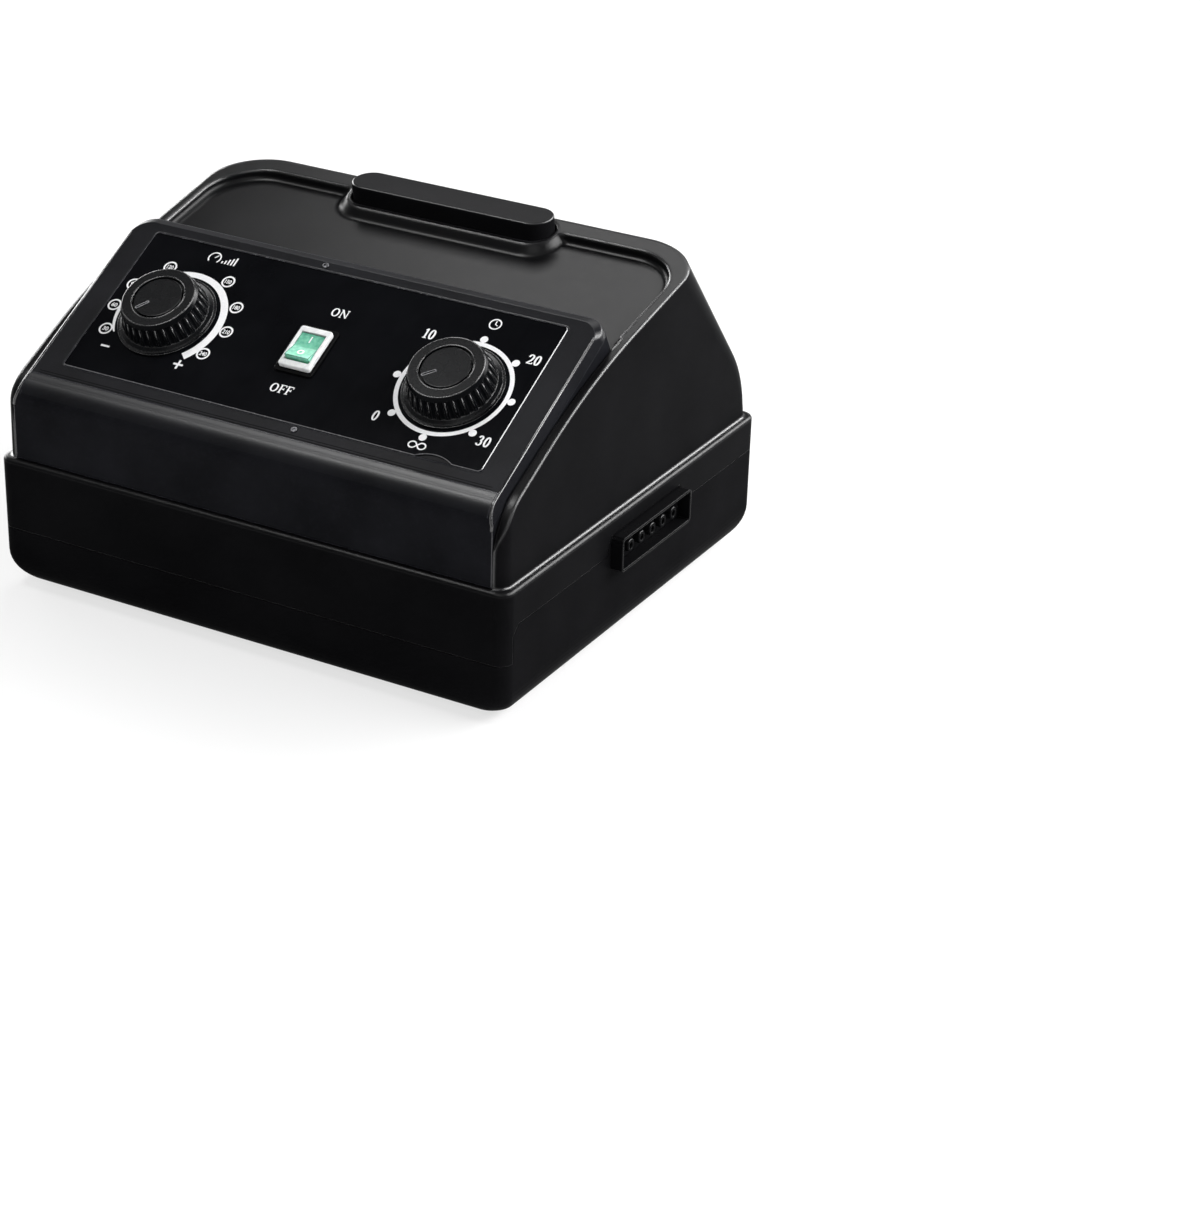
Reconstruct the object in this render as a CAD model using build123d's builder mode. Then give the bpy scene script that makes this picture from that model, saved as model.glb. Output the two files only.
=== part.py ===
"""A compression therapy pump: a table-top air pump with two dials, a rocker switch and a hose outlet.

The case is a bottom tray and a top cover.  A sloping console fascia closes the front of the cover.
X runs along the front, Y to the back and Z up; the feet stand on Z = 0.
"""
from build123d import *
from math import cos, radians, sin, sqrt, tan
import os

os.makedirs("parts", exist_ok=True)

# ------------------------------------------------------------------ driving dimensions (mm, degrees)
wall = 2.5                      # moulded shells
fit_gap = 0.3                   # between neighbouring mouldings
seat_gap = 0.1                  # between a piece and what it is screwed or clipped to
running_gap = 0.05              # radial, round a turning or sliding shaft
far = 200.0                     # beyond every face, for cutting zones
curve_steps = 10                # ruled steps round a lofted curve

# case base
case_width = 245.0
case_depth = 214.6
case_corner_r = 6.0
base_height = 56.4              # tray bottom to the ledge
foot_stand = 2.0                # the feet lift the tray bottom by this much
bottom_round_width = 9.5
bottom_round_height = 14.0
bottom_corner_r = 11.0
seam_front_height = 24.8
seam_side_height = 40.6
seam_step_setback = 5.9         # from the front face to the seam's step
seam_chamfer = 4.0
seam_gap = 0.4
seam_lip_height = 3.0
seam_lip_thickness = 1.2

# upper body
ledge_depth = 2.4               # front and rear step above the base
ledge_side = 2.9
side_lean = 1.6                 # each side leans in this much up to the rim
console_rise = 27.5             # rim slope beside the console
deck_rise = 13.2                # rim slope beside the deck
rim_front_height = 84.7         # where the rim line would meet the front face
rim_knee_setback = 69.9         # from the front face
rim_knee_r = 300.0
rim_front_r = 26.0
rim_rear_setback = 44.8         # from the rear face
rear_slope = 57.0
rear_blend_r = 40.0
rear_corner_r = 28.0
rim_recess = 4.0                # deck and console seat below the rim
rim_width = 4.5
rim_rear_width = 8.9
ledge_edge_r = 1.5
deck_corner_r = 24.0
deck_fillet_r = 3.0

# console fascia
panel_setback = 50.96           # panel centre from the front face
panel_height = 115.01           # panel centre above the tray bottom
panel_tilt = 29.18
console_strip = 3.7             # cover left beside the fascia, at the rim
fascia_top_v = 46.9             # the fascia's upper end, along the panel
fascia_bevel_drop = 2.0
fascia_bevel_run = 3.75
fascia_side_drop = 4.4
fascia_side_run = 2.0
fascia_corner_r = 9.0
fascia_nose_r = 11.8
fascia_foot_gap = 0.5           # shadow gap above the ledge
window_half_width = 100.0       # opening in the cover, below the fascia
window_half_height = 34.0
window_depth = 50.0

# control label
label_width = 200.0
label_depth = 76.8
label_thickness = 0.5
label_recess = 0.4
label_corner_r = 2.0
label_gap = 0.2
notch_u = 78.5
notch_r = 15.7
notch_depth = 2.4

# bezel screws
bezel_screw_spots = [(-16.4, 41.0), (15.6, -41.0)]
bezel_screw_head_r = 1.4
bezel_screw_head_height = 0.6
bezel_screw_r = 0.8
bezel_socket_r = 0.7
bezel_socket_depth = 0.4
bezel_boss_r = 2.4
bezel_screw_length = 8.0

# dials
dial_spacing = 137.8
dial_v = -3.14
knob_skirt_r = 21.3
knob_skirt_thickness = 0.6
knob_step_r = 20.2
knob_step_height = 0.5
knob_flare_height = 0.7
knob_foot_r = 18.5
knob_shoulder_r = 16.5
knob_rim_r = 15.7
knob_height = 12.0
knob_shoulder_height = 10.2
knob_lift = 0.4                 # running gap over the label
knob_hollow_r = 12.0
knob_hollow_depth = 5.0
flute_count = 30
flute_r = 1.15
flute_depth = 0.55
cap_r = 11.3
cap_groove = 1.0
cap_depth = 1.2
knob_edge_r = 0.6
flute_end_margin = 0.3
bushing_r = 4.5
bushing_height = 3.6            # above the panel face
nut_across = 12.0
nut_thickness = 2.2
spindle_r = 3.0
spindle_height = 9.0
spindle_root = 14.0             # below the panel face
regulator_r = 15.0
regulator_depth = 34.0
regulator_barb_depth = 28.0     # below the top of its body
timer_width = 42.0
timer_depth = 32.0
body_step = 1.0                 # washer thickness between a control's body and the fascia

# power switch
switch_v = -3.2
gasket_width = 18.0
gasket_length = 24.6
gasket_thickness = 1.0
switch_flange_width = 15.0
switch_flange_length = 21.0
switch_flange_thickness = 2.0
switch_body_width = 13.2
switch_body_length = 19.0
switch_body_depth = 16.0        # below the panel face
switch_cutout_gap = 0.2
rocker_opening_width = 11.9
rocker_opening_length = 15.4
rocker_pocket_depth = 8.5
rocker_width = 11.3
rocker_length = 14.2
rocker_crest = 2.6              # rocker ends above its axis
rocker_dip = 1.5
rocker_root = 4.0
rocker_swing = 18.0             # from ON to OFF
rocker_pin_r = 1.3
rocker_pin_cover = 0.2          # left of the housing's side wall outside the pin
rocker_sink = 2.0               # rocker axis below the flange top
switch_edge_r = 1.2
terminal_width = 6.3
terminal_thickness = 0.8
terminal_length = 8.0
terminal_pitch = 9.0

# carrying handle
handle_setback = 56.0           # from the rear face
handle_rise = 6.66              # handle top above the rim's slope
handle_tilt = 7.0
handle_length = 98.0
handle_width = 17.0
handle_thickness = 14.0
handle_edge_r = 1.0
handle_gap = 0.9
handle_rest_gap = 0.3
handle_travel = 28.0
collar_lip = 1.3                # flat top of the collar round the handle
collar_taper = 40.0
pocket_wall = 2.5
leg_spacing = 72.0
leg_width = 12.0
leg_thickness = 8.0
guide_length = 20.0
guide_wall = 3.0
stop_thickness = 4.0

# outlet port, in the right wall
outlet_length = 60.0
outlet_height = 15.0
outlet_y = 6.5
outlet_bottom_height = 33.5     # above the tray bottom
outlet_stand_out = 5.2
outlet_frame_wall = 1.0
outlet_corner_r = 2.0
outlet_flange_width = 3.0
outlet_flange_thickness = 1.5
outlet_gap = 0.2
tab_width = 4.5                 # sloped end of the tray beside the port
manifold_thickness = 2.0
nozzle_count = 5
nozzle_pitch = 9.25
nozzle_r = 2.75
nozzle_length = 3.2
nozzle_bore_r = 1.5
nozzle_edge_r = 0.5
barb_r = 2.5
barb_length = 9.0
hose_r = 4.0
hose_bore_gap = 0.05

# air distributor
valve_inset = 52.5              # from the right face
valve_width = 52.0
valve_depth = 56.0
valve_height = 16.0
valve_chamber_r = 22.0
valve_floor = 4.0
rotor_height = 7.0
rotor_shaft_r = 3.0
rotor_port_r = 4.0
lid_thickness = 3.0
valve_corner_r = 4.0
bleed_barb_offset = 14.0
bleed_turn_x = 10.0
bleed_bend_r = [40.0, 18.0]
motor_r = 25.0
motor_height = 20.0
motor_shaft_grip = 9.0

# air pump
pump_x = -45.0
pump_width = 104.0
pump_depth = 66.0
pump_base_thickness = 3.0
pump_base_height = 12.0         # above the tray bottom
pump_height = 44.0
cylinder_block_width = 18.0
cylinder_block_depth = 40.0
cylinder_r = 15.0
cylinder_bore_depth = 14.0
piston_length = 8.0
piston_rod_r = 4.0
pump_stroke = 1.5               # each way
magnet_length = 22.0
magnet_size = 14.0
magnet_gap = 1.0
core_width = 30.0
core_depth = 16.0
coil_wall = 3.0
coil_height = 14.0
mount_r = 6.0
mount_inset = 9.0
mount_peg_r = 2.0
mount_peg_height = 6.0

# circuit board
board_inset_x = 64.5            # from the right and rear faces
board_inset_y = 31.3
board_width = 84.0
board_depth = 36.0
board_thickness = 1.6
board_height = 10.0             # above the tray floor
board_post_r = 3.5
board_hole_inset = 4.0
board_screw_r = 1.2
board_screw_length = 8.0
board_blocks = [(-28.0, 12.0, 22.0, 11.0), (-8.0, 22.0, 24.0, 20.0), (32.0, 9.0, 18.0, 9.0)]
capacitor_offset = 16.0
capacitor_r = 8.0
capacitor_height = 24.0

# mains inlet and fuse, in the rear wall
inlet_inset = 44.5              # from the left face
fuse_spacing = 38.0
inlet_height = 23.0             # above the tray bottom
inlet_flange_width = 32.0
inlet_flange_height = 20.0
inlet_flange_thickness = 2.0
inlet_body_width = 22.0
inlet_body_height = 13.0
inlet_body_depth = 18.0
inlet_hole_width = 17.6
inlet_hole_height = 9.0
inlet_hole_depth = 13.0
inlet_pin_r = 1.2
inlet_pin_pitch = 8.6
fuse_r = 6.0
fuse_cap_r = 8.0
fuse_depth = 28.0
fuse_slot_length = 9.0
fuse_slot_width = 1.6
rear_pad_thickness = 5.0
rear_pad_margin = 3.0
inlet_flange_r = 2.0

# air intake, in the tray floor
intake_setback = 45.3           # from the front face
intake_slots = 7
intake_slot_width = 2.5
intake_slot_length = 34.0
intake_slot_pitch = 6.0
filter_thickness = 6.0
filter_margin = 4.0

# feet and case screws
foot_r = 8.0
foot_inset_x = 34.5             # from the side and end faces
foot_inset_y = 31.3
foot_seat_depth = 1.0
foot_stem_r = 2.5
foot_edge_r = 0.8
case_screw_inset_x = 13.5       # from the side and end faces
case_screw_inset_y = 14.3
case_screw_r = 1.5
case_screw_head_r = 2.9
case_screw_head_height = 2.2
case_screw_length = 24.0
case_screw_tip_gap = 1.0
case_boss_r = 5.0
case_boss_join_height = 38.0    # above the tray bottom
case_counterbore_height = 24.0
screw_grip_gap = 0.02

# ------------------------------------------------------------------ places worked out from them
case_x = -outlet_stand_out / 2  # the port stands out on one side only
tray_z = foot_stand
ledge_z = tray_z + base_height
half_width = case_width / 2
half_depth = case_depth / 2
body_front = -half_depth + ledge_depth
body_rear = half_depth - ledge_depth
body_half_width = half_width - ledge_side
floor_z = tray_z + wall
rim_knee_y = -half_depth + rim_knee_setback
rim_rear_y = half_depth - rim_rear_setback
panel_y = -half_depth + panel_setback
handle_y = half_depth - handle_setback
valve_x = half_width - valve_inset
board_x = half_width - board_inset_x
board_y = half_depth - board_inset_y
inlet_x = -half_width + inlet_inset
fuse_x = inlet_x + fuse_spacing
intake_y = -half_depth + intake_setback
rim_knee_z = tray_z + rim_front_height + (rim_knee_y - body_front) * tan(radians(console_rise))
deck_slope = tan(radians(deck_rise))
rim_rear_z = rim_knee_z + (rim_rear_y - rim_knee_y) * deck_slope
handle_top_z = rim_knee_z + (handle_y - rim_knee_y) * deck_slope + handle_rise
fascia_half = body_half_width - side_lean - console_strip
console_seat_front = body_front + wall + fit_gap


def level(z):
    """A horizontal plane through the case's middle."""
    return Plane((case_x, 0, z))


def across(x):
    """A plane square to X: its x is Y and its y is Z."""
    return Plane((case_x + x, 0, 0), x_dir=(0, 1, 0), z_dir=(1, 0, 0))


def upright(y):
    """A plane square to Y, facing the back: its x is -X and its y is Z."""
    return Plane((case_x, y, 0), x_dir=(-1, 0, 0), z_dir=(0, 1, 0))


def section_of(place):
    """The plane through a place's own axis: its x is the radius and its y the height."""
    return Plane(place.origin, x_dir=place.x_dir, z_dir=-place.y_dir)


def axis_of(place):
    return Axis(place.origin, place.z_dir)


# the fascia's back wall is square to the panel and meets the deck this far below its top end
fascia_top_y = panel_y + fascia_top_v * cos(radians(panel_tilt))
fascia_top_z = tray_z + panel_height + fascia_top_v * sin(radians(panel_tilt))
deck_at_top = rim_knee_z - rim_recess / cos(radians(deck_rise)) + (fascia_top_y - rim_knee_y) * deck_slope
fascia_back_drop = (fascia_top_z - deck_at_top) / (
    cos(radians(panel_tilt)) + deck_slope * sin(radians(panel_tilt))
)
console_back_y = fascia_top_y + fascia_back_drop * sin(radians(panel_tilt)) + 2 * fit_gap

panel = Plane(
    (case_x, panel_y, tray_z + panel_height),
    x_dir=(1, 0, 0),
    z_dir=(0, -sin(radians(panel_tilt)), cos(radians(panel_tilt))),
)
handle_place = Plane(
    (case_x, handle_y, handle_top_z),
    x_dir=(1, 0, 0),
    z_dir=(0, -sin(radians(handle_tilt)), cos(radians(handle_tilt))),
)


def on_panel(u, v, h=0.0):
    """A place parallel to the panel, from its middle."""
    return Plane(panel.from_local_coords(Vector(u, v, h)), x_dir=panel.x_dir, z_dir=panel.z_dir)


pressure_place = on_panel(-dial_spacing / 2, dial_v)
time_place = on_panel(dial_spacing / 2, dial_v)
switch_place = on_panel(0, switch_v)


# ------------------------------------------------------------------ case forms
def base_form(inset, top_z):
    """The rounded base up to a height, with every wall moved in by inset."""
    curve_width = bottom_round_width - inset
    curve_height = bottom_round_height - inset
    with BuildPart() as form:
        for step in range(curve_steps + 1):
            turn = radians(90.0 * step / curve_steps)
            shrink = curve_width * (1 - sin(turn))
            corner = case_corner_r + (bottom_corner_r - case_corner_r) * shrink / bottom_round_width
            with BuildSketch(level(tray_z + inset + curve_height * (1 - cos(turn)))):
                RectangleRounded(
                    case_width - 2 * (inset + shrink), case_depth - 2 * (inset + shrink), corner - inset
                )
        loft(ruled=True)
        with BuildSketch(level(tray_z + bottom_round_height)):
            RectangleRounded(case_width - 2 * inset, case_depth - 2 * inset, case_corner_r - inset)
        extrude(amount=top_z - tray_z - bottom_round_height)
    return form.part


def rear_y(z):
    """The rear wall's place at a height: upright, then a blend into the rear slope."""
    slope = radians(rear_slope)
    turn = radians(90.0 - rear_slope)
    tangent = rear_blend_r * tan(turn / 2)
    knee_z = rim_rear_z - (body_rear - rim_rear_y) * tan(slope)
    blend_z = knee_z - tangent
    if z <= blend_z:
        return body_rear
    if z <= blend_z + rear_blend_r * sin(turn):
        return body_rear - rear_blend_r + sqrt(rear_blend_r**2 - (z - blend_z) ** 2)
    return rim_rear_y + (rim_rear_z - z) / tan(slope)


def body_form(inset, front, low_z):
    """The upper body's walls from a height up past the rim, moved in by inset behind a front plane."""
    slope = radians(rear_slope)
    knee_z = rim_rear_z - (body_rear - rim_rear_y) * tan(slope)
    tangent = rear_blend_r * tan(radians(90.0 - rear_slope) / 2)
    blend_low = knee_z - tangent
    blend_high = blend_low + rear_blend_r * cos(slope)
    top_z = rim_rear_z + rim_recess
    steps = range(curve_steps + 1)
    levels = [low_z] + [blend_low + (blend_high - blend_low) * step / curve_steps for step in steps] + [top_z]
    with BuildPart() as form:
        for z in levels:
            share = (z - ledge_z) / (rim_rear_z - ledge_z)
            half = body_half_width - side_lean * share - inset
            rear = rear_y(z) - inset
            front_r = case_corner_r - inset
            rear_r = case_corner_r + (rear_corner_r - case_corner_r) * max(share, 0) - inset
            with BuildSketch(level(z)):
                with BuildLine():
                    FilletPolyline(
                        (-half, front), (half, front), (half, rear), (-half, rear),
                        radius=[front_r, front_r, rear_r, rear_r],
                        close=True,
                    )
                make_face()
        loft(ruled=True)
    return form.part


def under_rim(drop, front, low_z):
    """Everything below the rim's side profile, lowered square to itself by drop."""
    console_angle = radians(console_rise)
    deck_angle = radians(deck_rise)
    console_z = tray_z + rim_front_height + (front - body_front) * tan(console_angle)
    console_z -= drop / cos(console_angle)
    deck_z = rim_knee_z - drop / cos(deck_angle)
    knee_y = (console_z - front * tan(console_angle) - deck_z + rim_knee_y * deck_slope) / (
        deck_slope - tan(console_angle)
    )
    knee_z = deck_z + (knee_y - rim_knee_y) * deck_slope
    with BuildPart() as zone:
        with BuildSketch(across(0)):
            with BuildLine():
                top = FilletPolyline(
                    (front, low_z),
                    (front, console_z),
                    (knee_y, knee_z),
                    (far, deck_z + (far - rim_knee_y) * deck_slope),
                    radius=[rim_front_r - drop, rim_knee_r - drop],
                )
                Polyline(top @ 1, (far, low_z), top @ 0)
            make_face()
        extrude(amount=far, both=True)
    return zone.part


def tray_zone(raised):
    """Everything below the seam between tray and cover, raised by an amount."""
    step_y = -half_depth + seam_step_setback
    front_z = tray_z + seam_front_height + raised
    side_z = tray_z + seam_side_height + raised
    port_top = tray_z + outlet_bottom_height + outlet_height + outlet_gap + raised
    tab_low = outlet_y - outlet_length / 2 - tab_width
    tab_high = outlet_y + outlet_length / 2 + tab_width
    with BuildPart() as zone:
        with BuildSketch(across(0)):
            with BuildLine():
                Polyline(
                    (-far, -far), (-far, front_z), (step_y - raised, front_z),
                    (step_y - raised, side_z - seam_chamfer),
                    (step_y - raised + seam_chamfer, side_z), (far, side_z), (far, -far), (-far, -far),
                )
            make_face()
        extrude(amount=far, both=True)
        with BuildSketch(across(body_half_width - rim_width)):
            with BuildLine():
                Polyline(
                    (tab_low - raised, side_z - seam_chamfer), (tab_low + tab_width - raised, port_top),
                    (tab_high - tab_width + raised, port_top), (tab_high + raised, side_z - seam_chamfer),
                    close=True,
                )
            make_face()
        extrude(amount=far)
    return zone.part


def corners(x, y, mid_x=0.0, mid_y=0.0):
    return [(mid_x + side * x, mid_y + end * y) for side in (-1, 1) for end in (-1, 1)]


# ------------------------------------------------------------------ top cover
pocket_floor_h = -handle_thickness - handle_rest_gap
guide_top_h = pocket_floor_h - pocket_wall
leg_spots = [(-leg_spacing / 2, 0), (leg_spacing / 2, 0)]
screw_spots = corners(half_width - case_screw_inset_x, half_depth - case_screw_inset_y)
boss_join_z = tray_z + case_boss_join_height
screw_seat_z = tray_z + case_counterbore_height
outlet_z = tray_z + outlet_bottom_height + outlet_height / 2
collar_spread = handle_gap + collar_lip + (handle_thickness - handle_rise) * tan(radians(collar_taper))
collar_length = handle_length + 2 * collar_spread
collar_depth = handle_width + 2 * collar_spread
tub_length = handle_length + 2 * (handle_gap + pocket_wall)
tub_depth = handle_width + 2 * (handle_gap + pocket_wall)
deck_half = body_half_width - side_lean - rim_width
deck_rear_y = rim_rear_y - rim_rear_width
seat_zone = under_rim(rim_recess, console_seat_front, -far)

with BuildPart() as cavity:
    add(body_form(wall, console_seat_front + wall, ledge_z - 2 * wall))
    add(under_rim(rim_recess + wall, console_seat_front + wall, -far), mode=Mode.INTERSECT)
    add(base_form(wall, ledge_z - wall))

with BuildPart() as band:
    add(base_form(0, ledge_z))
    fillet(band.edges().group_by(Axis.Z)[-1], ledge_edge_r)

with BuildPart() as hull:
    add(body_form(0, body_front, ledge_z - wall))
    add(under_rim(0, body_front, -far), mode=Mode.INTERSECT)
    add(band.part)

with BuildPart() as deck_pocket:
    with BuildSketch(level(ledge_z)):
        with BuildLine():
            FilletPolyline(
                (-deck_half, console_back_y - wall), (deck_half, console_back_y - wall),
                (deck_half, deck_rear_y), (-deck_half, deck_rear_y),
                radius=[0, 0, deck_corner_r, deck_corner_r],
                close=True,
            )
        make_face()
    extrude(amount=far)
    with BuildSketch(handle_place.offset(-handle_thickness)):
        SlotOverall(collar_length, collar_depth)
    extrude(amount=handle_thickness, taper=collar_taper, mode=Mode.SUBTRACT)
    add(seat_zone, mode=Mode.SUBTRACT)
    floor_edges = deck_pocket.edges().filter_by(lambda edge: edge.center().Z < rim_rear_z)
    beside = floor_edges.filter_by(lambda edge: abs(edge.center().X - case_x) > collar_length / 2)
    round_collar = floor_edges.filter_by(lambda edge: edge.center().Y > handle_y - collar_depth)
    fillet(ShapeList(set(beside + round_collar)), deck_fillet_r)

with BuildPart() as console_pocket:
    with BuildSketch(level(ledge_z)):
        with Locations((0, (console_back_y - far) / 2)):
            Rectangle(2 * (fascia_half + fit_gap), console_back_y + far)
    extrude(amount=far)
    add(seat_zone, mode=Mode.SUBTRACT)

# the tub under the handle and the columns for the case screws, kept inside the hull
with BuildPart() as inner_forms:
    with BuildSketch(handle_place.offset(guide_top_h)):
        SlotOverall(tub_length, tub_depth)
    extrude(amount=handle_thickness + pocket_wall)
    with BuildSketch(level(boss_join_z)):
        with Locations(*screw_spots):
            Circle(case_boss_r)
    extrude(amount=far)
    add(hull.part, mode=Mode.INTERSECT)

# posts for the two bezel screws, standing on the console seat
with BuildPart() as bezel_posts:
    with BuildSketch(panel.offset(-wall - seat_gap)):
        with Locations(*bezel_screw_spots):
            Circle(bezel_boss_r)
    extrude(amount=-handle_thickness - rim_recess)
    add(under_rim(rim_recess + wall / 2, console_seat_front, -far), mode=Mode.SUBTRACT)

# the rebate that the tray's lip enters
with BuildPart() as lip_rebate:
    add(base_form(wall - seam_lip_thickness - fit_gap, ledge_z - wall))
    add(tray_zone(seam_gap + seam_lip_height), mode=Mode.INTERSECT)

with BuildPart() as outlet_window:
    with BuildSketch(across(body_half_width - rim_width)):
        with Locations((outlet_y, outlet_z)):
            RectangleRounded(
                outlet_length + 2 * outlet_gap, outlet_height + 2 * outlet_gap, outlet_corner_r + outlet_gap
            )
    extrude(amount=far)

with BuildPart() as top_cover:
    add(hull.part)
    add(cavity.part, mode=Mode.SUBTRACT)
    add(inner_forms.part)
    add(tray_zone(seam_gap), mode=Mode.SUBTRACT)
    add(lip_rebate.part, mode=Mode.SUBTRACT)
    add(outlet_window.part, mode=Mode.SUBTRACT)
    add(console_pocket.part, mode=Mode.SUBTRACT)
    add(deck_pocket.part, mode=Mode.SUBTRACT)
    with BuildSketch(panel.offset(-wall)):
        Rectangle(2 * window_half_width, 2 * window_half_height)
    extrude(amount=-window_depth, mode=Mode.SUBTRACT)
    add(bezel_posts.part)
    with BuildSketch(panel.offset(-wall)):
        with Locations(*bezel_screw_spots):
            Circle(bezel_screw_r + screw_grip_gap)
    extrude(amount=-bezel_screw_length, mode=Mode.SUBTRACT)
    with BuildSketch(handle_place.offset(pocket_floor_h)):
        SlotOverall(handle_length + 2 * handle_gap, handle_width + 2 * handle_gap)
    extrude(amount=far, mode=Mode.SUBTRACT)
    with BuildSketch(handle_place.offset(guide_top_h)):
        with Locations(*leg_spots):
            Rectangle(leg_width + 2 * fit_gap, leg_thickness + 2 * fit_gap)
    extrude(amount=2 * pocket_wall, mode=Mode.SUBTRACT)
    with BuildSketch(level(boss_join_z)):
        with Locations(*screw_spots):
            Circle(case_screw_r + screw_grip_gap)
    extrude(amount=screw_seat_z + case_screw_length + case_screw_tip_gap - boss_join_z, mode=Mode.SUBTRACT)
top_cover.part.label = "top_cover"

# ------------------------------------------------------------------ bottom tray
motor_seat_z = outlet_z - valve_height / 2 - motor_height
pump_base_z = tray_z + pump_base_height
board_z = floor_z + board_height
inlet_z = tray_z + inlet_height
mount_spots = corners(pump_width / 2 - mount_inset, pump_depth / 2 - mount_inset, pump_x, outlet_y)
board_spots = corners(
    board_width / 2 - board_hole_inset, board_depth / 2 - board_hole_inset, board_x, board_y
)
foot_spots = corners(half_width - foot_inset_x, half_depth - foot_inset_y)
pad_width = fuse_x - inlet_x + inlet_flange_width + 2 * rear_pad_margin
pad_x = (fuse_x + inlet_x) / 2
pad_face_y = half_depth - rear_pad_thickness
embed = wall / 2

with BuildPart() as tray_ring:
    add(base_form(wall - seam_lip_thickness, ledge_z - wall))
    add(base_form(wall, ledge_z), mode=Mode.SUBTRACT)
    add(tray_zone(seam_lip_height), mode=Mode.INTERSECT)

with BuildPart() as bottom_tray:
    add(base_form(0, ledge_z))
    add(tray_zone(0), mode=Mode.INTERSECT)
    add(base_form(wall, ledge_z + wall), mode=Mode.SUBTRACT)
    add(tray_ring.part)
    with BuildSketch(level(tray_z + embed)):
        with Locations(*screw_spots):
            Circle(case_boss_r)
    extrude(amount=boss_join_z - tray_z - embed)
    with BuildSketch(level(floor_z - embed)):
        with Locations(*board_spots):
            Circle(board_post_r)
    extrude(amount=board_height + embed)
    with BuildSketch(level(floor_z - embed)):
        with Locations(*mount_spots):
            Circle(mount_peg_r)
    extrude(amount=embed + mount_peg_height)
    with BuildSketch(level(floor_z - embed)):
        with Locations((valve_x, outlet_y)):
            Circle(motor_r)
            Circle(motor_r - 2 * wall, mode=Mode.SUBTRACT)
    extrude(amount=motor_seat_z - floor_z + embed)
    with BuildSketch(upright(pad_face_y)):
        with Locations((-pad_x, inlet_z)):
            Rectangle(pad_width, inlet_flange_height + 2 * rear_pad_margin)
    extrude(amount=rear_pad_thickness - embed)
    # screws, feet and intake, cut from below
    with BuildSketch(level(tray_z)):
        with Locations(*screw_spots):
            Circle(case_screw_head_r + fit_gap)
    extrude(amount=case_counterbore_height, mode=Mode.SUBTRACT)
    with BuildSketch(level(tray_z)):
        with Locations(*screw_spots):
            Circle(case_screw_r + seat_gap)
    extrude(amount=case_boss_join_height, mode=Mode.SUBTRACT)
    with BuildSketch(level(tray_z)):
        with Locations(*foot_spots):
            Circle(foot_r)
    extrude(amount=foot_seat_depth, mode=Mode.SUBTRACT)
    with BuildSketch(level(tray_z)):
        with Locations(*foot_spots):
            Circle(foot_stem_r)
    extrude(amount=2 * wall, mode=Mode.SUBTRACT)
    with BuildSketch(level(tray_z)):
        with Locations((pump_x, intake_y)):
            with GridLocations(intake_slot_pitch, 1, intake_slots, 1):
                SlotOverall(intake_slot_length, intake_slot_width, rotation=90)
    extrude(amount=wall, mode=Mode.SUBTRACT)
    with BuildSketch(level(board_z)):
        with Locations(*board_spots):
            Circle(board_screw_r + screw_grip_gap)
    extrude(amount=-board_height, mode=Mode.SUBTRACT)
    # inlet and fuse, cut from behind
    with BuildSketch(upright(half_depth - inlet_flange_thickness)):
        with Locations((-inlet_x, inlet_z)):
            RectangleRounded(
                inlet_flange_width + 2 * seat_gap, inlet_flange_height + 2 * seat_gap, inlet_flange_r
            )
        with Locations((-fuse_x, inlet_z)):
            Circle(fuse_cap_r + seat_gap)
    extrude(amount=far, mode=Mode.SUBTRACT)
    with BuildSketch(upright(pad_face_y)):
        with Locations((-inlet_x, inlet_z)):
            Rectangle(inlet_body_width + 2 * seat_gap, inlet_body_height + 2 * seat_gap)
        with Locations((-fuse_x, inlet_z)):
            Circle(fuse_r + seat_gap)
    extrude(amount=rear_pad_thickness, mode=Mode.SUBTRACT)
    add(outlet_window.part, mode=Mode.SUBTRACT)
bottom_tray.part.label = "bottom_tray"

# ------------------------------------------------------------------ console fascia and label
label_top = label_thickness - label_recess


def fascia_outline(inset, u_half, top_v, h):
    """The fascia's outline at a height over the panel, moved in by inset."""
    half = u_half - inset
    corner_r = fascia_corner_r - inset
    with BuildSketch(panel.offset(h - inset)) as outline:
        with BuildLine():
            FilletPolyline(
                (-half, -far), (half, -far), (half, top_v - inset), (-half, top_v - inset),
                radius=[0, 0, corner_r, corner_r],
                close=True,
            )
        make_face()
    return outline.sketch


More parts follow.
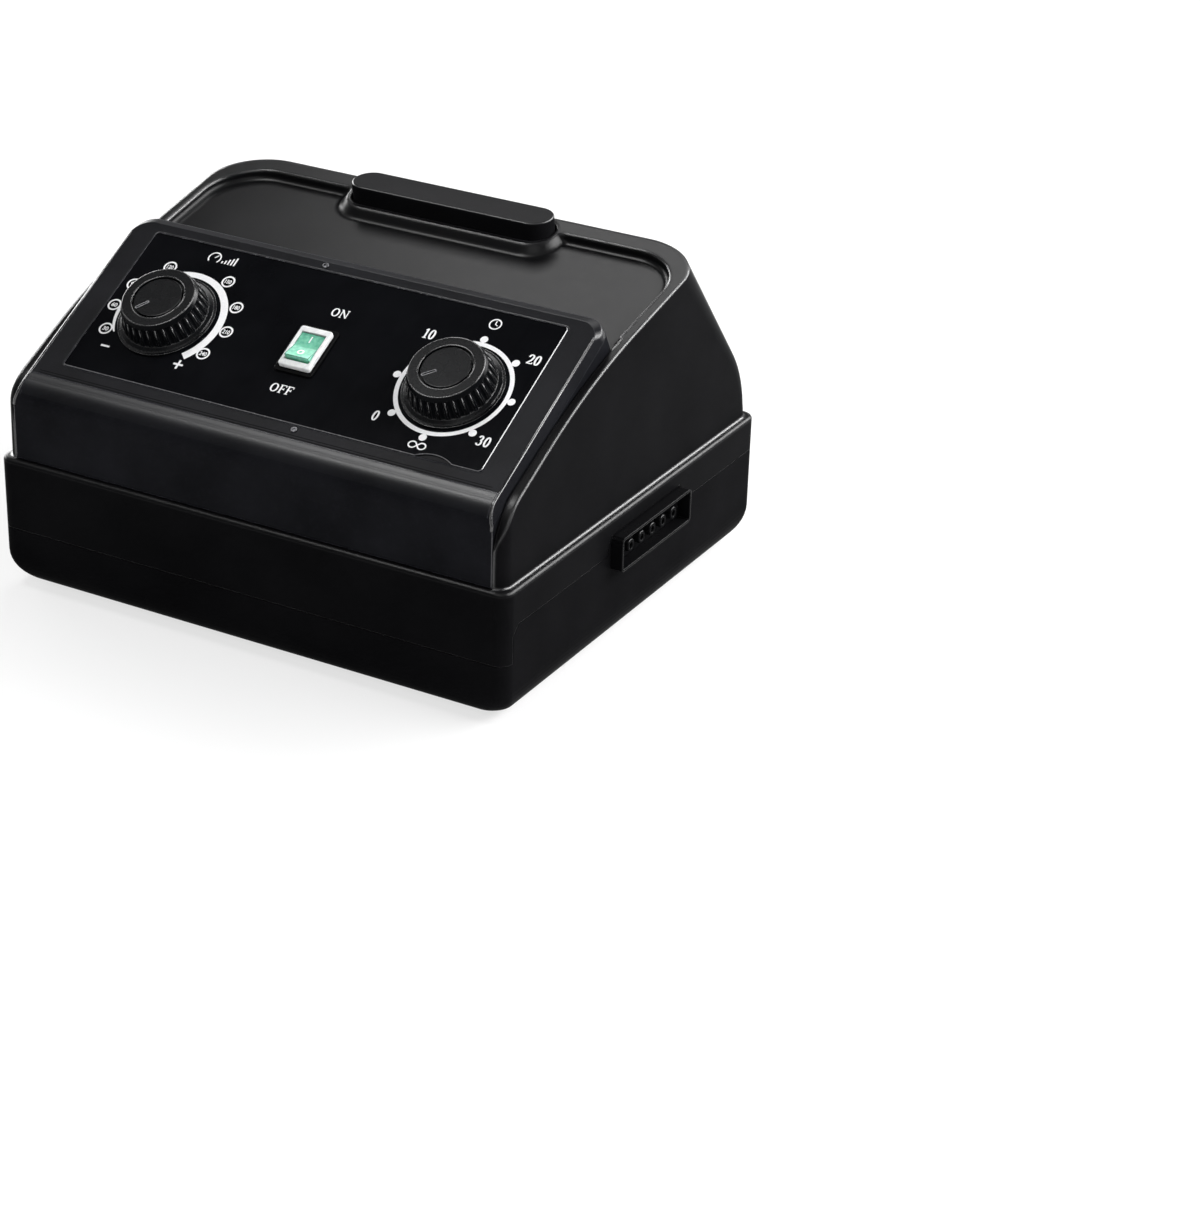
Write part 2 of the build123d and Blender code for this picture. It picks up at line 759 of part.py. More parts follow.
def fascia_form(inset, foot_z):
    """The console block, moved in by inset: drafted sides, bevelled top end and round nose."""
    tilt = radians(panel_tilt)
    side_rate = fascia_side_run / fascia_side_drop
    bevel_rate = fascia_bevel_run / fascia_bevel_drop
    over = fascia_bevel_drop
    nose_z = tray_z + panel_height + (body_front - panel_y) * tan(tilt)
    rear_v = 2 * fascia_top_v
    outlines = [
        fascia_outline(
            inset,
            fascia_half - side_rate * (fascia_side_drop + over),
            fascia_top_v - bevel_rate * (fascia_bevel_drop + over),
            over,
        ),
        fascia_outline(
            inset,
            fascia_half - side_rate * (fascia_side_drop - fascia_bevel_drop),
            fascia_top_v,
            -fascia_bevel_drop,
        ),
        fascia_outline(inset, fascia_half, fascia_top_v, -fascia_side_drop),
        fascia_outline(inset, fascia_half, fascia_top_v, -far),
    ]
    with BuildPart() as form:
        loft(outlines, ruled=True)
        with BuildSketch(across(0)):
            with BuildLine():
                top = FilletPolyline(
                    (body_front + inset, foot_z),
                    (body_front + inset, nose_z - inset / cos(tilt) + inset * tan(tilt)),
                    (
                        panel_y + rear_v * cos(tilt) + inset * sin(tilt),
                        tray_z + panel_height + rear_v * sin(tilt) - inset * cos(tilt),
                    ),
                    radius=fascia_nose_r - inset,
                )
                Polyline(top @ 1, (far, foot_z), top @ 0)
            make_face()
        extrude(amount=far, both=True, mode=Mode.INTERSECT)
    return form.part


with BuildPart() as console_fascia:
    add(fascia_form(0, ledge_z + fascia_foot_gap))
    add(fascia_form(wall, tray_z), mode=Mode.SUBTRACT)
    add(under_rim(rim_recess - seat_gap, console_seat_front - seat_gap, -far), mode=Mode.SUBTRACT)
    with BuildSketch(panel.offset(-label_recess)):
        RectangleRounded(label_width + 2 * label_gap, label_depth + 2 * label_gap, label_corner_r)
    extrude(amount=wall, mode=Mode.SUBTRACT)
    with BuildSketch(panel.offset(-2 * wall)):
        with Locations((-dial_spacing / 2, dial_v), (dial_spacing / 2, dial_v)):
            Circle(bushing_r + seat_gap)
        with Locations((0, switch_v)):
            Rectangle(switch_body_width + 2 * switch_cutout_gap, switch_body_length + 2 * switch_cutout_gap)
        with Locations(*bezel_screw_spots):
            Circle(bezel_screw_r + seat_gap)
    extrude(amount=far, mode=Mode.SUBTRACT)
    with BuildSketch(panel.offset(-wall)):
        with Locations(*bezel_screw_spots):
            Circle(bezel_boss_r + fit_gap)
    extrude(amount=-far, mode=Mode.SUBTRACT)
console_fascia.part.label = "console_fascia"

with BuildPart() as control_label:
    with BuildSketch(panel.offset(-label_recess)):
        RectangleRounded(label_width, label_depth, label_corner_r)
        with Locations((-dial_spacing / 2, dial_v), (dial_spacing / 2, dial_v)):
            Circle(bushing_r + seat_gap, mode=Mode.SUBTRACT)
        with Locations((0, switch_v)):
            Rectangle(
                switch_body_width + 2 * switch_cutout_gap, switch_body_length + 2 * switch_cutout_gap,
                mode=Mode.SUBTRACT,
            )
        with Locations((notch_u, -label_depth / 2 + notch_depth - notch_r)):
            Circle(notch_r, mode=Mode.SUBTRACT)
    extrude(amount=label_thickness)
control_label.part.label = "control_label"

with BuildPart() as bezel_screws:
    with BuildSketch(panel):
        with Locations(*bezel_screw_spots):
            Circle(bezel_screw_head_r)
    extrude(amount=bezel_screw_head_height)
    fillet(bezel_screws.edges().group_by(axis_of(panel))[-1], bezel_screw_head_height / 2)
    with BuildSketch(panel.offset(bezel_screw_head_height)):
        with Locations(*bezel_screw_spots):
            RegularPolygon(bezel_socket_r, 6)
    extrude(amount=-bezel_socket_depth, mode=Mode.SUBTRACT)
    with BuildSketch(panel):
        with Locations(*bezel_screw_spots):
            Circle(bezel_screw_r)
    extrude(amount=-bezel_screw_length)
bezel_screws.part.label = "bezel_screws"


# ------------------------------------------------------------------ dials
def dial_knob(place):
    """A fluted knob over its panel nut: a stepped skirt, a tapered grip and a recess for the cap."""
    section = section_of(place)
    foot_h = label_top + knob_lift
    skirt_h = foot_h + knob_skirt_thickness
    step_h = skirt_h + knob_step_height
    grip_h = step_h + knob_flare_height
    top_h = foot_h + knob_height
    flute_low = grip_h + flute_end_margin
    flute_high = foot_h + knob_shoulder_height
    planes = []
    for step in range(flute_count):
        turn = radians(360.0 * step / flute_count)
        low_r = knob_foot_r - flute_depth + flute_r
        high_r = knob_shoulder_r - flute_depth + flute_r
        low = place.from_local_coords(Vector(low_r * cos(turn), low_r * sin(turn), flute_low))
        high = place.from_local_coords(Vector(high_r * cos(turn), high_r * sin(turn), flute_high))
        planes.append(Plane(low, z_dir=high - low))
    with BuildPart() as knob:
        with BuildSketch(section):
            with BuildLine():
                Polyline(
                    (0, foot_h), (knob_skirt_r, foot_h), (knob_skirt_r, skirt_h), (knob_step_r, skirt_h),
                    (knob_step_r, step_h), (knob_foot_r, grip_h), (knob_shoulder_r, flute_high),
                    (knob_rim_r, top_h), (0, top_h), (0, foot_h),
                )
            make_face()
        revolve(axis=axis_of(place))
        fillet(knob.edges().group_by(axis_of(place))[-1], knob_edge_r)
        with BuildSketch(*planes):
            Circle(flute_r)
        extrude(amount=(high - low).length, mode=Mode.SUBTRACT)
        with BuildSketch(place.offset(foot_h)):
            Circle(knob_hollow_r)
        extrude(amount=knob_hollow_depth, mode=Mode.SUBTRACT)
        with BuildSketch(place.offset(foot_h)):
            Circle(spindle_r + screw_grip_gap)
        extrude(amount=spindle_height - foot_h + screw_grip_gap, mode=Mode.SUBTRACT)
        with BuildSketch(place.offset(top_h)):
            Circle(cap_r)
        extrude(amount=-cap_depth, mode=Mode.SUBTRACT)
    return knob.part


def knob_cap(place):
    """The disc in the knob's top; the groove round it is its clearance in the recess."""
    with BuildPart() as cap:
        with BuildSketch(place.offset(label_top + knob_lift + knob_height - cap_depth)):
            Circle(cap_r - cap_groove)
        extrude(amount=cap_depth)
        fillet(cap.edges().group_by(axis_of(place))[-1], knob_edge_r / 2)
    return cap.part


def panel_nut(place):
    with BuildPart() as nut:
        with BuildSketch(place.offset(label_top)):
            RegularPolygon(nut_across / 2, 6, major_radius=False)
            Circle(bushing_r + screw_grip_gap, mode=Mode.SUBTRACT)
        extrude(amount=nut_thickness)
    return nut.part


def spindle(place):
    with BuildPart() as shaft:
        with BuildSketch(place.offset(-spindle_root)):
            Circle(spindle_r)
        extrude(amount=spindle_root + spindle_height)
    return shaft.part


spindle_bore = spindle_r + running_gap
body_top_h = -wall - body_step

with BuildPart() as pressure_knob:
    add(dial_knob(pressure_place))
pressure_knob.part.label = "pressure_knob"

with BuildPart() as time_knob:
    add(dial_knob(time_place))
time_knob.part.label = "time_knob"

with BuildPart() as pressure_cap:
    add(knob_cap(pressure_place))
pressure_cap.part.label = "pressure_knob_cap"

with BuildPart() as time_cap:
    add(knob_cap(time_place))
time_cap.part.label = "time_knob_cap"

with BuildPart() as pressure_spindle:
    add(spindle(pressure_place))
pressure_spindle.part.label = "pressure_spindle"

with BuildPart() as timer_spindle:
    add(spindle(time_place))
timer_spindle.part.label = "timer_spindle"

with BuildPart() as panel_nuts:
    add(panel_nut(pressure_place))
    add(panel_nut(time_place))
panel_nuts.part.label = "panel_nuts"

bleed_place = Plane(
    pressure_place.from_local_coords(Vector(regulator_r, 0, body_top_h - regulator_barb_depth)),
    x_dir=panel.y_dir,
    z_dir=panel.x_dir,
)

with BuildPart() as pressure_regulator:
    with BuildSketch(pressure_place.offset(body_top_h - regulator_depth)):
        Circle(regulator_r)
    extrude(amount=regulator_depth)
    with BuildSketch(pressure_place.offset(body_top_h)):
        Circle(2 * bushing_r)
    extrude(amount=body_step)
    with BuildSketch(pressure_place.offset(body_top_h)):
        Circle(bushing_r)
    extrude(amount=bushing_height - body_top_h)
    with BuildSketch(bleed_place.offset(-barb_r)):
        Circle(barb_r)
    extrude(amount=barb_r + barb_length)
    with BuildSketch(bleed_place.offset(-regulator_r)):
        Circle(nozzle_bore_r)
    extrude(amount=regulator_r + barb_length, mode=Mode.SUBTRACT)
    with BuildSketch(pressure_place.offset(bushing_height)):
        Circle(spindle_bore)
    extrude(amount=-bushing_height - spindle_root - fit_gap, mode=Mode.SUBTRACT)
pressure_regulator.part.label = "pressure_regulator"

with BuildPart() as dial_timer:
    with BuildSketch(time_place.offset(body_top_h - timer_depth)):
        RectangleRounded(timer_width, timer_width, 2 * wall)
    extrude(amount=timer_depth)
    with BuildSketch(time_place.offset(body_top_h)):
        Circle(2 * bushing_r)
    extrude(amount=body_step)
    with BuildSketch(time_place.offset(body_top_h)):
        Circle(bushing_r)
    extrude(amount=bushing_height - body_top_h)
    with BuildSketch(time_place.offset(bushing_height)):
        Circle(spindle_bore)
    extrude(amount=-bushing_height - spindle_root - fit_gap, mode=Mode.SUBTRACT)
dial_timer.part.label = "dial_timer"

# ------------------------------------------------------------------ power switch
gasket_top = label_top + gasket_thickness
flange_top = gasket_top + switch_flange_thickness
rocker_axis = switch_place.offset(flange_top - rocker_sink)
rocker_lean = radians(rocker_swing / 2)
rocker_section = Plane(
    rocker_axis.origin,
    x_dir=panel.y_dir * cos(rocker_lean) - panel.z_dir * sin(rocker_lean),
    z_dir=panel.x_dir,
)

with BuildPart() as switch_gasket:
    with BuildSketch(switch_place.offset(label_top)):
        RectangleRounded(gasket_width, gasket_length, switch_edge_r)
        Rectangle(
            switch_body_width + 2 * switch_cutout_gap, switch_body_length + 2 * switch_cutout_gap,
            mode=Mode.SUBTRACT,
        )
    extrude(amount=gasket_thickness)
switch_gasket.part.label = "switch_gasket"

with BuildPart() as switch_housing:
    with BuildSketch(switch_place.offset(gasket_top)):
        RectangleRounded(switch_flange_width, switch_flange_length, switch_edge_r)
    extrude(amount=switch_flange_thickness)
    fillet(switch_housing.edges().group_by(axis_of(switch_place))[-1], switch_edge_r / 2)
    with BuildSketch(switch_place.offset(gasket_top)):
        Rectangle(switch_body_width, switch_body_length)
    extrude(amount=-gasket_top - switch_body_depth)
    with BuildSketch(switch_place.offset(flange_top)):
        Rectangle(rocker_opening_width, rocker_opening_length)
    extrude(amount=-rocker_pocket_depth, mode=Mode.SUBTRACT)
    with BuildSketch(rocker_section):
        Circle(rocker_pin_r + running_gap)
    extrude(amount=switch_body_width / 2 - rocker_pin_cover, both=True, mode=Mode.SUBTRACT)
switch_housing.part.label = "switch_housing"

with BuildPart() as rocker_button:
    with BuildSketch(rocker_section):
        with BuildLine():
            Polyline(
                (-rocker_length / 2, rocker_crest), (0, rocker_dip), (rocker_length / 2, rocker_crest),
                (rocker_length / 2 - rocker_crest / 2, -rocker_root),
                (-rocker_length / 2 + rocker_crest / 2, -rocker_root),
                close=True,
            )
        make_face()
    extrude(amount=rocker_width / 2, both=True)
    with BuildSketch(rocker_section):
        Circle(rocker_pin_r)
    extrude(amount=switch_body_width / 2 - rocker_pin_cover - seat_gap, both=True)
rocker_button.part.label = "rocker_button"

with BuildPart() as switch_terminals:
    with BuildSketch(switch_place.offset(-switch_body_depth)):
        with GridLocations(1, terminal_pitch, 1, 2):
            Rectangle(terminal_width, terminal_thickness)
    extrude(amount=-terminal_length)
switch_terminals.part.label = "switch_terminals"

# ------------------------------------------------------------------ carrying handle
leg_root_h = guide_top_h - guide_length - handle_travel - stop_thickness

with BuildPart() as carry_handle:
    with BuildSketch(handle_place.offset(-handle_thickness)):
        SlotOverall(handle_length, handle_width)
    extrude(amount=handle_thickness)
    fillet(carry_handle.edges().group_by(axis_of(handle_place))[-1], handle_edge_r)
    with BuildSketch(handle_place.offset(leg_root_h)):
        with Locations(*leg_spots):
            Rectangle(leg_width, leg_thickness)
    extrude(amount=-handle_thickness - leg_root_h)
carry_handle.part.label = "carry_handle"

with BuildPart() as handle_guides:
    with BuildSketch(handle_place.offset(guide_top_h - guide_length)):
        with Locations(*leg_spots):
            Rectangle(leg_width + 2 * (fit_gap + guide_wall), leg_thickness + 2 * (fit_gap + guide_wall))
            Rectangle(leg_width + 2 * fit_gap, leg_thickness + 2 * fit_gap, mode=Mode.SUBTRACT)
    extrude(amount=guide_length)
handle_guides.part.label = "handle_guides"

with BuildPart() as handle_stops:
    with BuildSketch(handle_place.offset(leg_root_h)):
        with Locations(*leg_spots):
            Rectangle(leg_width + 2 * (fit_gap + guide_wall), leg_thickness + 2 * (fit_gap + guide_wall))
            Rectangle(leg_width + 2 * screw_grip_gap, leg_thickness + 2 * screw_grip_gap, mode=Mode.SUBTRACT)
    extrude(amount=stop_thickness - fit_gap)
handle_stops.part.label = "handle_stops"

# ------------------------------------------------------------------ outlet port
wall_inner_x = half_width - wall
flange_x = wall_inner_x - seat_gap - outlet_flange_thickness
manifold_x = half_width - outlet_gap - manifold_thickness
nozzle_first_y = outlet_y - (nozzle_count - 1) / 2 * nozzle_pitch
nozzle_spots = [(nozzle_first_y + step * nozzle_pitch, outlet_z) for step in range(nozzle_count)]
bore_half_length = outlet_length / 2 - outlet_frame_wall
bore_half_height = outlet_height / 2 - outlet_frame_wall

with BuildPart() as outlet_frame:
    with BuildSketch(across(flange_x)):
        with Locations((outlet_y, outlet_z)):
            Rectangle(outlet_length + 2 * outlet_flange_width, outlet_height + 2 * outlet_flange_width)
    extrude(amount=outlet_flange_thickness)
    with BuildSketch(across(flange_x)):
        with Locations((outlet_y, outlet_z)):
            RectangleRounded(outlet_length, outlet_height, outlet_corner_r)
    extrude(amount=half_width + outlet_stand_out - flange_x)
    with BuildSketch(across(flange_x)):
        with Locations((outlet_y, outlet_z)):
            RectangleRounded(2 * bore_half_length, 2 * bore_half_height, outlet_corner_r - outlet_frame_wall)
    extrude(amount=far, mode=Mode.SUBTRACT)
outlet_frame.part.label = "outlet_frame"

with BuildPart() as outlet_manifold:
    with BuildSketch(across(manifold_x)):
        with Locations((outlet_y, outlet_z)):
            RectangleRounded(
                2 * (bore_half_length - seat_gap), 2 * (bore_half_height - seat_gap),
                outlet_corner_r - outlet_frame_wall - seat_gap,
            )
    extrude(amount=manifold_thickness)
    with BuildSketch(across(manifold_x + manifold_thickness)):
        with Locations(*nozzle_spots):
            Circle(nozzle_r)
    extrude(amount=nozzle_length)
    fillet(outlet_manifold.edges().group_by(Axis.X)[-1], nozzle_edge_r)
    with BuildSketch(across(manifold_x)):
        with Locations(*nozzle_spots):
            Circle(barb_r)
    extrude(amount=-barb_length)
    with BuildSketch(across(manifold_x - barb_length)):
        with Locations(*nozzle_spots):
            Circle(nozzle_bore_r)
    extrude(amount=barb_length + manifold_thickness + nozzle_length, mode=Mode.SUBTRACT)
outlet_manifold.part.label = "outlet_manifold"

# ------------------------------------------------------------------ air distributor
valve_place = Plane((case_x + valve_x, outlet_y, outlet_z - valve_height / 2))
valve_face_x = valve_x + valve_width / 2
valve_inlet_x = valve_x - valve_width / 2
valve_top_h = valve_height + lid_thickness

with BuildPart() as valve_body:
    with BuildSketch(valve_place):
        RectangleRounded(valve_width, valve_depth, valve_corner_r)
    extrude(amount=valve_height)
    with BuildSketch(across(valve_face_x)):
        with Locations(*nozzle_spots):
            Circle(barb_r)
    extrude(amount=barb_length)
    with BuildSketch(across(valve_inlet_x)):
        with Locations((outlet_y, outlet_z)):
            Circle(barb_r)
    extrude(amount=-barb_length)
    with BuildSketch(valve_place.offset(valve_floor)):
        Circle(valve_chamber_r)
    extrude(amount=valve_height, mode=Mode.SUBTRACT)
    with BuildSketch(valve_place):
        Circle(rotor_shaft_r + running_gap)
    extrude(amount=valve_floor, mode=Mode.SUBTRACT)
    with BuildSketch(across(valve_x)):
        with Locations(*nozzle_spots):
            Circle(nozzle_bore_r)
    extrude(amount=far, mode=Mode.SUBTRACT)
    with BuildSketch(across(valve_x)):
        with Locations((outlet_y, outlet_z)):
            Circle(nozzle_bore_r)
    extrude(amount=-far, mode=Mode.SUBTRACT)
valve_body.part.label = "valve_body"

with BuildPart() as valve_rotor:
    with BuildSketch(valve_place.offset(valve_floor + running_gap)):
        Circle(valve_chamber_r - running_gap)
        with PolarLocations(valve_chamber_r / 2, 2):
            Circle(rotor_port_r, mode=Mode.SUBTRACT)
    extrude(amount=rotor_height)
    with BuildSketch(valve_place.offset(-motor_shaft_grip)):
        Circle(rotor_shaft_r)
    extrude(amount=motor_shaft_grip + valve_floor + rotor_height)
valve_rotor.part.label = "valve_rotor"

with BuildPart() as valve_lid:
    with BuildSketch(valve_place.offset(valve_height)):
        RectangleRounded(valve_width, valve_depth, valve_corner_r)
    extrude(amount=lid_thickness)
    with BuildSketch(valve_place.offset(valve_top_h)):
        with Locations((-bleed_barb_offset, 0)):
            Circle(barb_r)
    extrude(amount=barb_length)
    with BuildSketch(valve_place.offset(valve_height)):
        with Locations((-bleed_barb_offset, 0)):
            Circle(nozzle_bore_r)
    extrude(amount=lid_thickness + barb_length, mode=Mode.SUBTRACT)
valve_lid.part.label = "valve_lid"

with BuildPart() as valve_motor:
    with BuildSketch(valve_place):
        Circle(motor_r)
    extrude(amount=-motor_height)
    with BuildSketch(valve_place):
        Circle(rotor_shaft_r + running_gap)
    extrude(amount=-motor_shaft_grip - fit_gap, mode=Mode.SUBTRACT)
valve_motor.part.label = "valve_motor"

# ------------------------------------------------------------------ air pump
pump_axis_z = pump_base_z + pump_base_thickness + pump_height / 2
pump_floor_z = pump_base_z + pump_base_thickness
block_face_x = pump_width / 2 - cylinder_block_width
piston_face_x = block_face_x + pump_stroke / 2

with BuildPart() as pump_base:
    with BuildSketch(level(pump_base_z)):
        with Locations((pump_x, outlet_y)):
            RectangleRounded(pump_width, pump_depth, 2 * wall)
    extrude(amount=pump_base_thickness)
pump_base.part.label = "pump_base"

with BuildPart() as pump_mounts:
    with BuildSketch(level(floor_z)):
        with Locations(*mount_spots):
            Circle(mount_r)
            Circle(mount_peg_r + seat_gap, mode=Mode.SUBTRACT)
    extrude(amount=pump_base_z - floor_z)
pump_mounts.part.label = "pump_mounts"

with BuildPart() as pump_cylinders:
    for side in (-1, 1):
        with BuildSketch(level(pump_floor_z)):
            with Locations((pump_x + side * (pump_width - cylinder_block_width) / 2, outlet_y)):
                Rectangle(cylinder_block_width, cylinder_block_depth)
        extrude(amount=pump_height)
        with BuildSketch(across(pump_x + side * block_face_x)):
            with Locations((outlet_y, pump_axis_z)):
                Circle(cylinder_r)
        extrude(amount=side * cylinder_bore_depth, mode=Mode.SUBTRACT)
    with BuildSketch(across(pump_x + pump_width / 2)):
        with Locations((outlet_y, outlet_z)):
            Circle(barb_r)
    extrude(amount=barb_length)
    with BuildSketch(across(pump_x + pump_width / 2 + barb_length)):
        with Locations((outlet_y, outlet_z)):
            Circle(nozzle_bore_r)
    extrude(amount=-barb_length - cylinder_block_width, mode=Mode.SUBTRACT)
pump_cylinders.part.label = "pump_cylinders"

with BuildPart() as pump_armature:
    with BuildSketch(across(pump_x - piston_face_x)):
        with Locations((outlet_y, pump_axis_z)):
            Circle(piston_rod_r)
    extrude(amount=2 * piston_face_x)
    for side in (-1, 1):
        with BuildSketch(across(pump_x + side * piston_face_x)):
            with Locations((outlet_y, pump_axis_z)):
                Circle(cylinder_r - running_gap)
        extrude(amount=side * piston_length)
    with BuildSketch(across(pump_x - magnet_length / 2)):
        with Locations((outlet_y, pump_axis_z)):
            Rectangle(magnet_size, magnet_size)
    extrude(amount=magnet_length)
pump_armature.part.label = "pump_armature"

core_offset = magnet_size / 2 + magnet_gap + core_depth / 2
core_spots = [(pump_x, outlet_y - core_offset), (pump_x, outlet_y + core_offset)]

with BuildPart() as pump_cores:
    with BuildSketch(level(pump_floor_z)):
        with Locations(*core_spots):
            Rectangle(core_width, core_depth)
    extrude(amount=pump_height / 2 + magnet_size / 2)
pump_cores.part.label = "pump_cores"

with BuildPart() as pump_coils:
    with BuildSketch(level(pump_floor_z)):
        with Locations(*core_spots):
            RectangleRounded(core_width + 2 * coil_wall, core_depth + 2 * coil_wall, coil_wall)
            Rectangle(core_width + 2 * seat_gap, core_depth + 2 * seat_gap, mode=Mode.SUBTRACT)
    extrude(amount=coil_height)
pump_coils.part.label = "pump_coils"

# ------------------------------------------------------------------ hoses
bleed_root = bleed_place.origin + Vector(seat_gap, 0, 0)
bleed_top = valve_place.origin + Vector(-bleed_barb_offset, 0, valve_top_h + seat_gap)

with BuildPart() as supply_hose:
    with BuildSketch(across(pump_x + pump_width / 2 + seat_gap)):
        with Locations((outlet_y, outlet_z)):
            Circle(hose_r)
            Circle(barb_r + hose_bore_gap, mode=Mode.SUBTRACT)
    extrude(amount=valve_inlet_x - pump_x - pump_width / 2 - 2 * seat_gap)
supply_hose.part.label = "supply_hose"

with BuildLine() as bleed_run:
    FilletPolyline(
        bleed_root,
        (case_x + bleed_turn_x, bleed_root.Y, bleed_root.Z),
        (bleed_top.X, bleed_top.Y, bleed_root.Z),
        bleed_top,
        radius=bleed_bend_r,
    )
bleed_path = bleed_run.wire()

with BuildPart() as bleed_hose:
    with BuildSketch(Plane(bleed_path @ 0, z_dir=bleed_path % 0)):
        Circle(hose_r)
        Circle(barb_r + hose_bore_gap, mode=Mode.SUBTRACT)
    sweep(path=bleed_path)
bleed_hose.part.label = "bleed_hose"

with BuildPart() as outlet_hoses:
    with BuildSketch(across(valve_face_x + seat_gap)):
        with Locations(*nozzle_spots):
            Circle(hose_r)
            Circle(barb_r + hose_bore_gap, mode=Mode.SUBTRACT)
    extrude(amount=manifold_x - valve_face_x - 2 * seat_gap)
outlet_hoses.part.label = "outlet_hoses"

# ------------------------------------------------------------------ electrics
with BuildPart() as circuit_board:
    with BuildSketch(level(board_z)):
        with Locations((board_x, board_y)):
            Rectangle(board_width, board_depth)
        with Locations(*board_spots):
            Circle(board_screw_r + seat_gap, mode=Mode.SUBTRACT)
    extrude(amount=board_thickness)
circuit_board.part.label = "circuit_board"

board_top_z = board_z + board_thickness
with BuildPart() as board_parts:
    for offset, width, depth, height in board_blocks:
        with BuildSketch(level(board_top_z)):
            with Locations((board_x + offset, board_y)):
                Rectangle(width, depth)
        extrude(amount=height)
    with BuildSketch(level(board_top_z)):
        with Locations((board_x + capacitor_offset, board_y)):
            Circle(capacitor_r)
    extrude(amount=capacitor_height)
board_parts.part.label = "board_components"

with BuildPart() as board_screws:
    with BuildSketch(level(board_top_z)):
        with Locations(*board_spots):
            Circle(2 * board_screw_r)
    extrude(amount=board_screw_r)
    with BuildSketch(level(board_top_z)):
        with Locations(*board_spots):
            Circle(board_screw_r)
    extrude(amount=-board_screw_length)
board_screws.part.label = "board_screws"

flange_y = half_depth - inlet_flange_thickness
with BuildPart() as mains_inlet:
    with BuildSketch(upright(flange_y)):
        with Locations((-inlet_x, inlet_z)):
            RectangleRounded(inlet_flange_width, inlet_flange_height, inlet_flange_r)
    extrude(amount=inlet_flange_thickness)
    with BuildSketch(upright(flange_y)):
        with Locations((-inlet_x, inlet_z)):
            Rectangle(inlet_body_width, inlet_body_height)
    extrude(amount=-inlet_body_depth)
    with BuildSketch(upright(half_depth)):
        with Locations((-inlet_x, inlet_z)):
            SlotOverall(inlet_hole_width, inlet_hole_height)
    extrude(amount=-inlet_hole_depth, mode=Mode.SUBTRACT)
    with BuildSketch(upright(half_depth - inlet_hole_depth)):
        with Locations((-inlet_x, inlet_z)):
            with GridLocations(inlet_pin_pitch, 1, 2, 1):
                Circle(inlet_pin_r)
    extrude(amount=inlet_hole_depth - inlet_flange_thickness)
mains_inlet.part.label = "mains_inlet"

with BuildPart() as fuse_holder:
    with BuildSketch(upright(flange_y)):
        with Locations((-fuse_x, inlet_z)):
            Circle(fuse_cap_r)
    extrude(amount=inlet_flange_thickness)
    with BuildSketch(upright(half_depth)):
        with Locations((-fuse_x, inlet_z)):
            Rectangle(fuse_slot_length, fuse_slot_width)
    extrude(amount=-inlet_flange_thickness / 2, mode=Mode.SUBTRACT)
    with BuildSketch(upright(flange_y)):
        with Locations((-fuse_x, inlet_z)):
            Circle(fuse_r)
    extrude(amount=-fuse_depth)
fuse_holder.part.label = "fuse_holder"

# ------------------------------------------------------------------ filter, feet and case screws
filter_width = intake_slot_pitch * (intake_slots - 1) + intake_slot_width + 2 * filter_margin
with BuildPart() as intake_filter:
    with BuildSketch(level(floor_z)):
        with Locations((pump_x, intake_y)):
            Rectangle(filter_width, intake_slot_length + 2 * filter_margin)
    extrude(amount=filter_thickness)
intake_filter.part.label = "intake_filter"

with BuildPart() as rubber_feet:
    with BuildSketch(level(0)):
        with Locations(*foot_spots):
            Circle(foot_r - seat_gap)
    extrude(amount=foot_stand + foot_seat_depth)
    fillet(rubber_feet.edges().group_by(Axis.Z)[0], foot_edge_r)
    with BuildSketch(level(foot_stand)):
        with Locations(*foot_spots):
            Circle(foot_stem_r - screw_grip_gap)
    extrude(amount=wall + foot_seat_depth)
rubber_feet.part.label = "rubber_feet"

with BuildPart() as case_screws:
    with BuildSketch(level(screw_seat_z)):
        with Locations(*screw_spots):
            Circle(case_screw_head_r)
    extrude(amount=-case_screw_head_height)
    with BuildSketch(level(screw_seat_z - case_screw_head_height)):
        with Locations(*screw_spots):
            RegularPolygon(case_screw_r, 6)
    extrude(amount=case_screw_head_height / 2, mode=Mode.SUBTRACT)
    with BuildSketch(level(screw_seat_z)):
        with Locations(*screw_spots):
            Circle(case_screw_r)
    extrude(amount=case_screw_length)
case_screws.part.label = "case_screws"

# ------------------------------------------------------------------ export
pieces = [
    bottom_tray, top_cover, console_fascia, control_label, bezel_screws,
    pressure_knob, pressure_cap, pressure_spindle, pressure_regulator,
    time_knob, time_cap, timer_spindle, dial_timer, panel_nuts,
    switch_gasket, switch_housing, rocker_button, switch_terminals,
    carry_handle, handle_guides, handle_stops,
    outlet_frame, outlet_manifold, outlet_hoses,
    valve_body, valve_rotor, valve_lid, valve_motor,
    pump_base, pump_mounts, pump_cylinders, pump_armature, pump_cores, pump_coils,
    supply_hose, bleed_hose,
    circuit_board, board_parts, board_screws, mains_inlet, fuse_holder,
    intake_filter, rubber_feet, case_screws,
]
for piece in pieces:
    export_step(piece.part, f"parts/{piece.part.label}.step")
print(len(pieces), "parts written")
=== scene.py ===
"""Looks of the compression therapy pump.

Every surface gets its finish. The printed scales, the signs and the crisp edges are fine
pieces of their own, which ride on the bodies that they belong to.
"""

import math

import bmesh
import bpy
from mathutils import Matrix, Vector


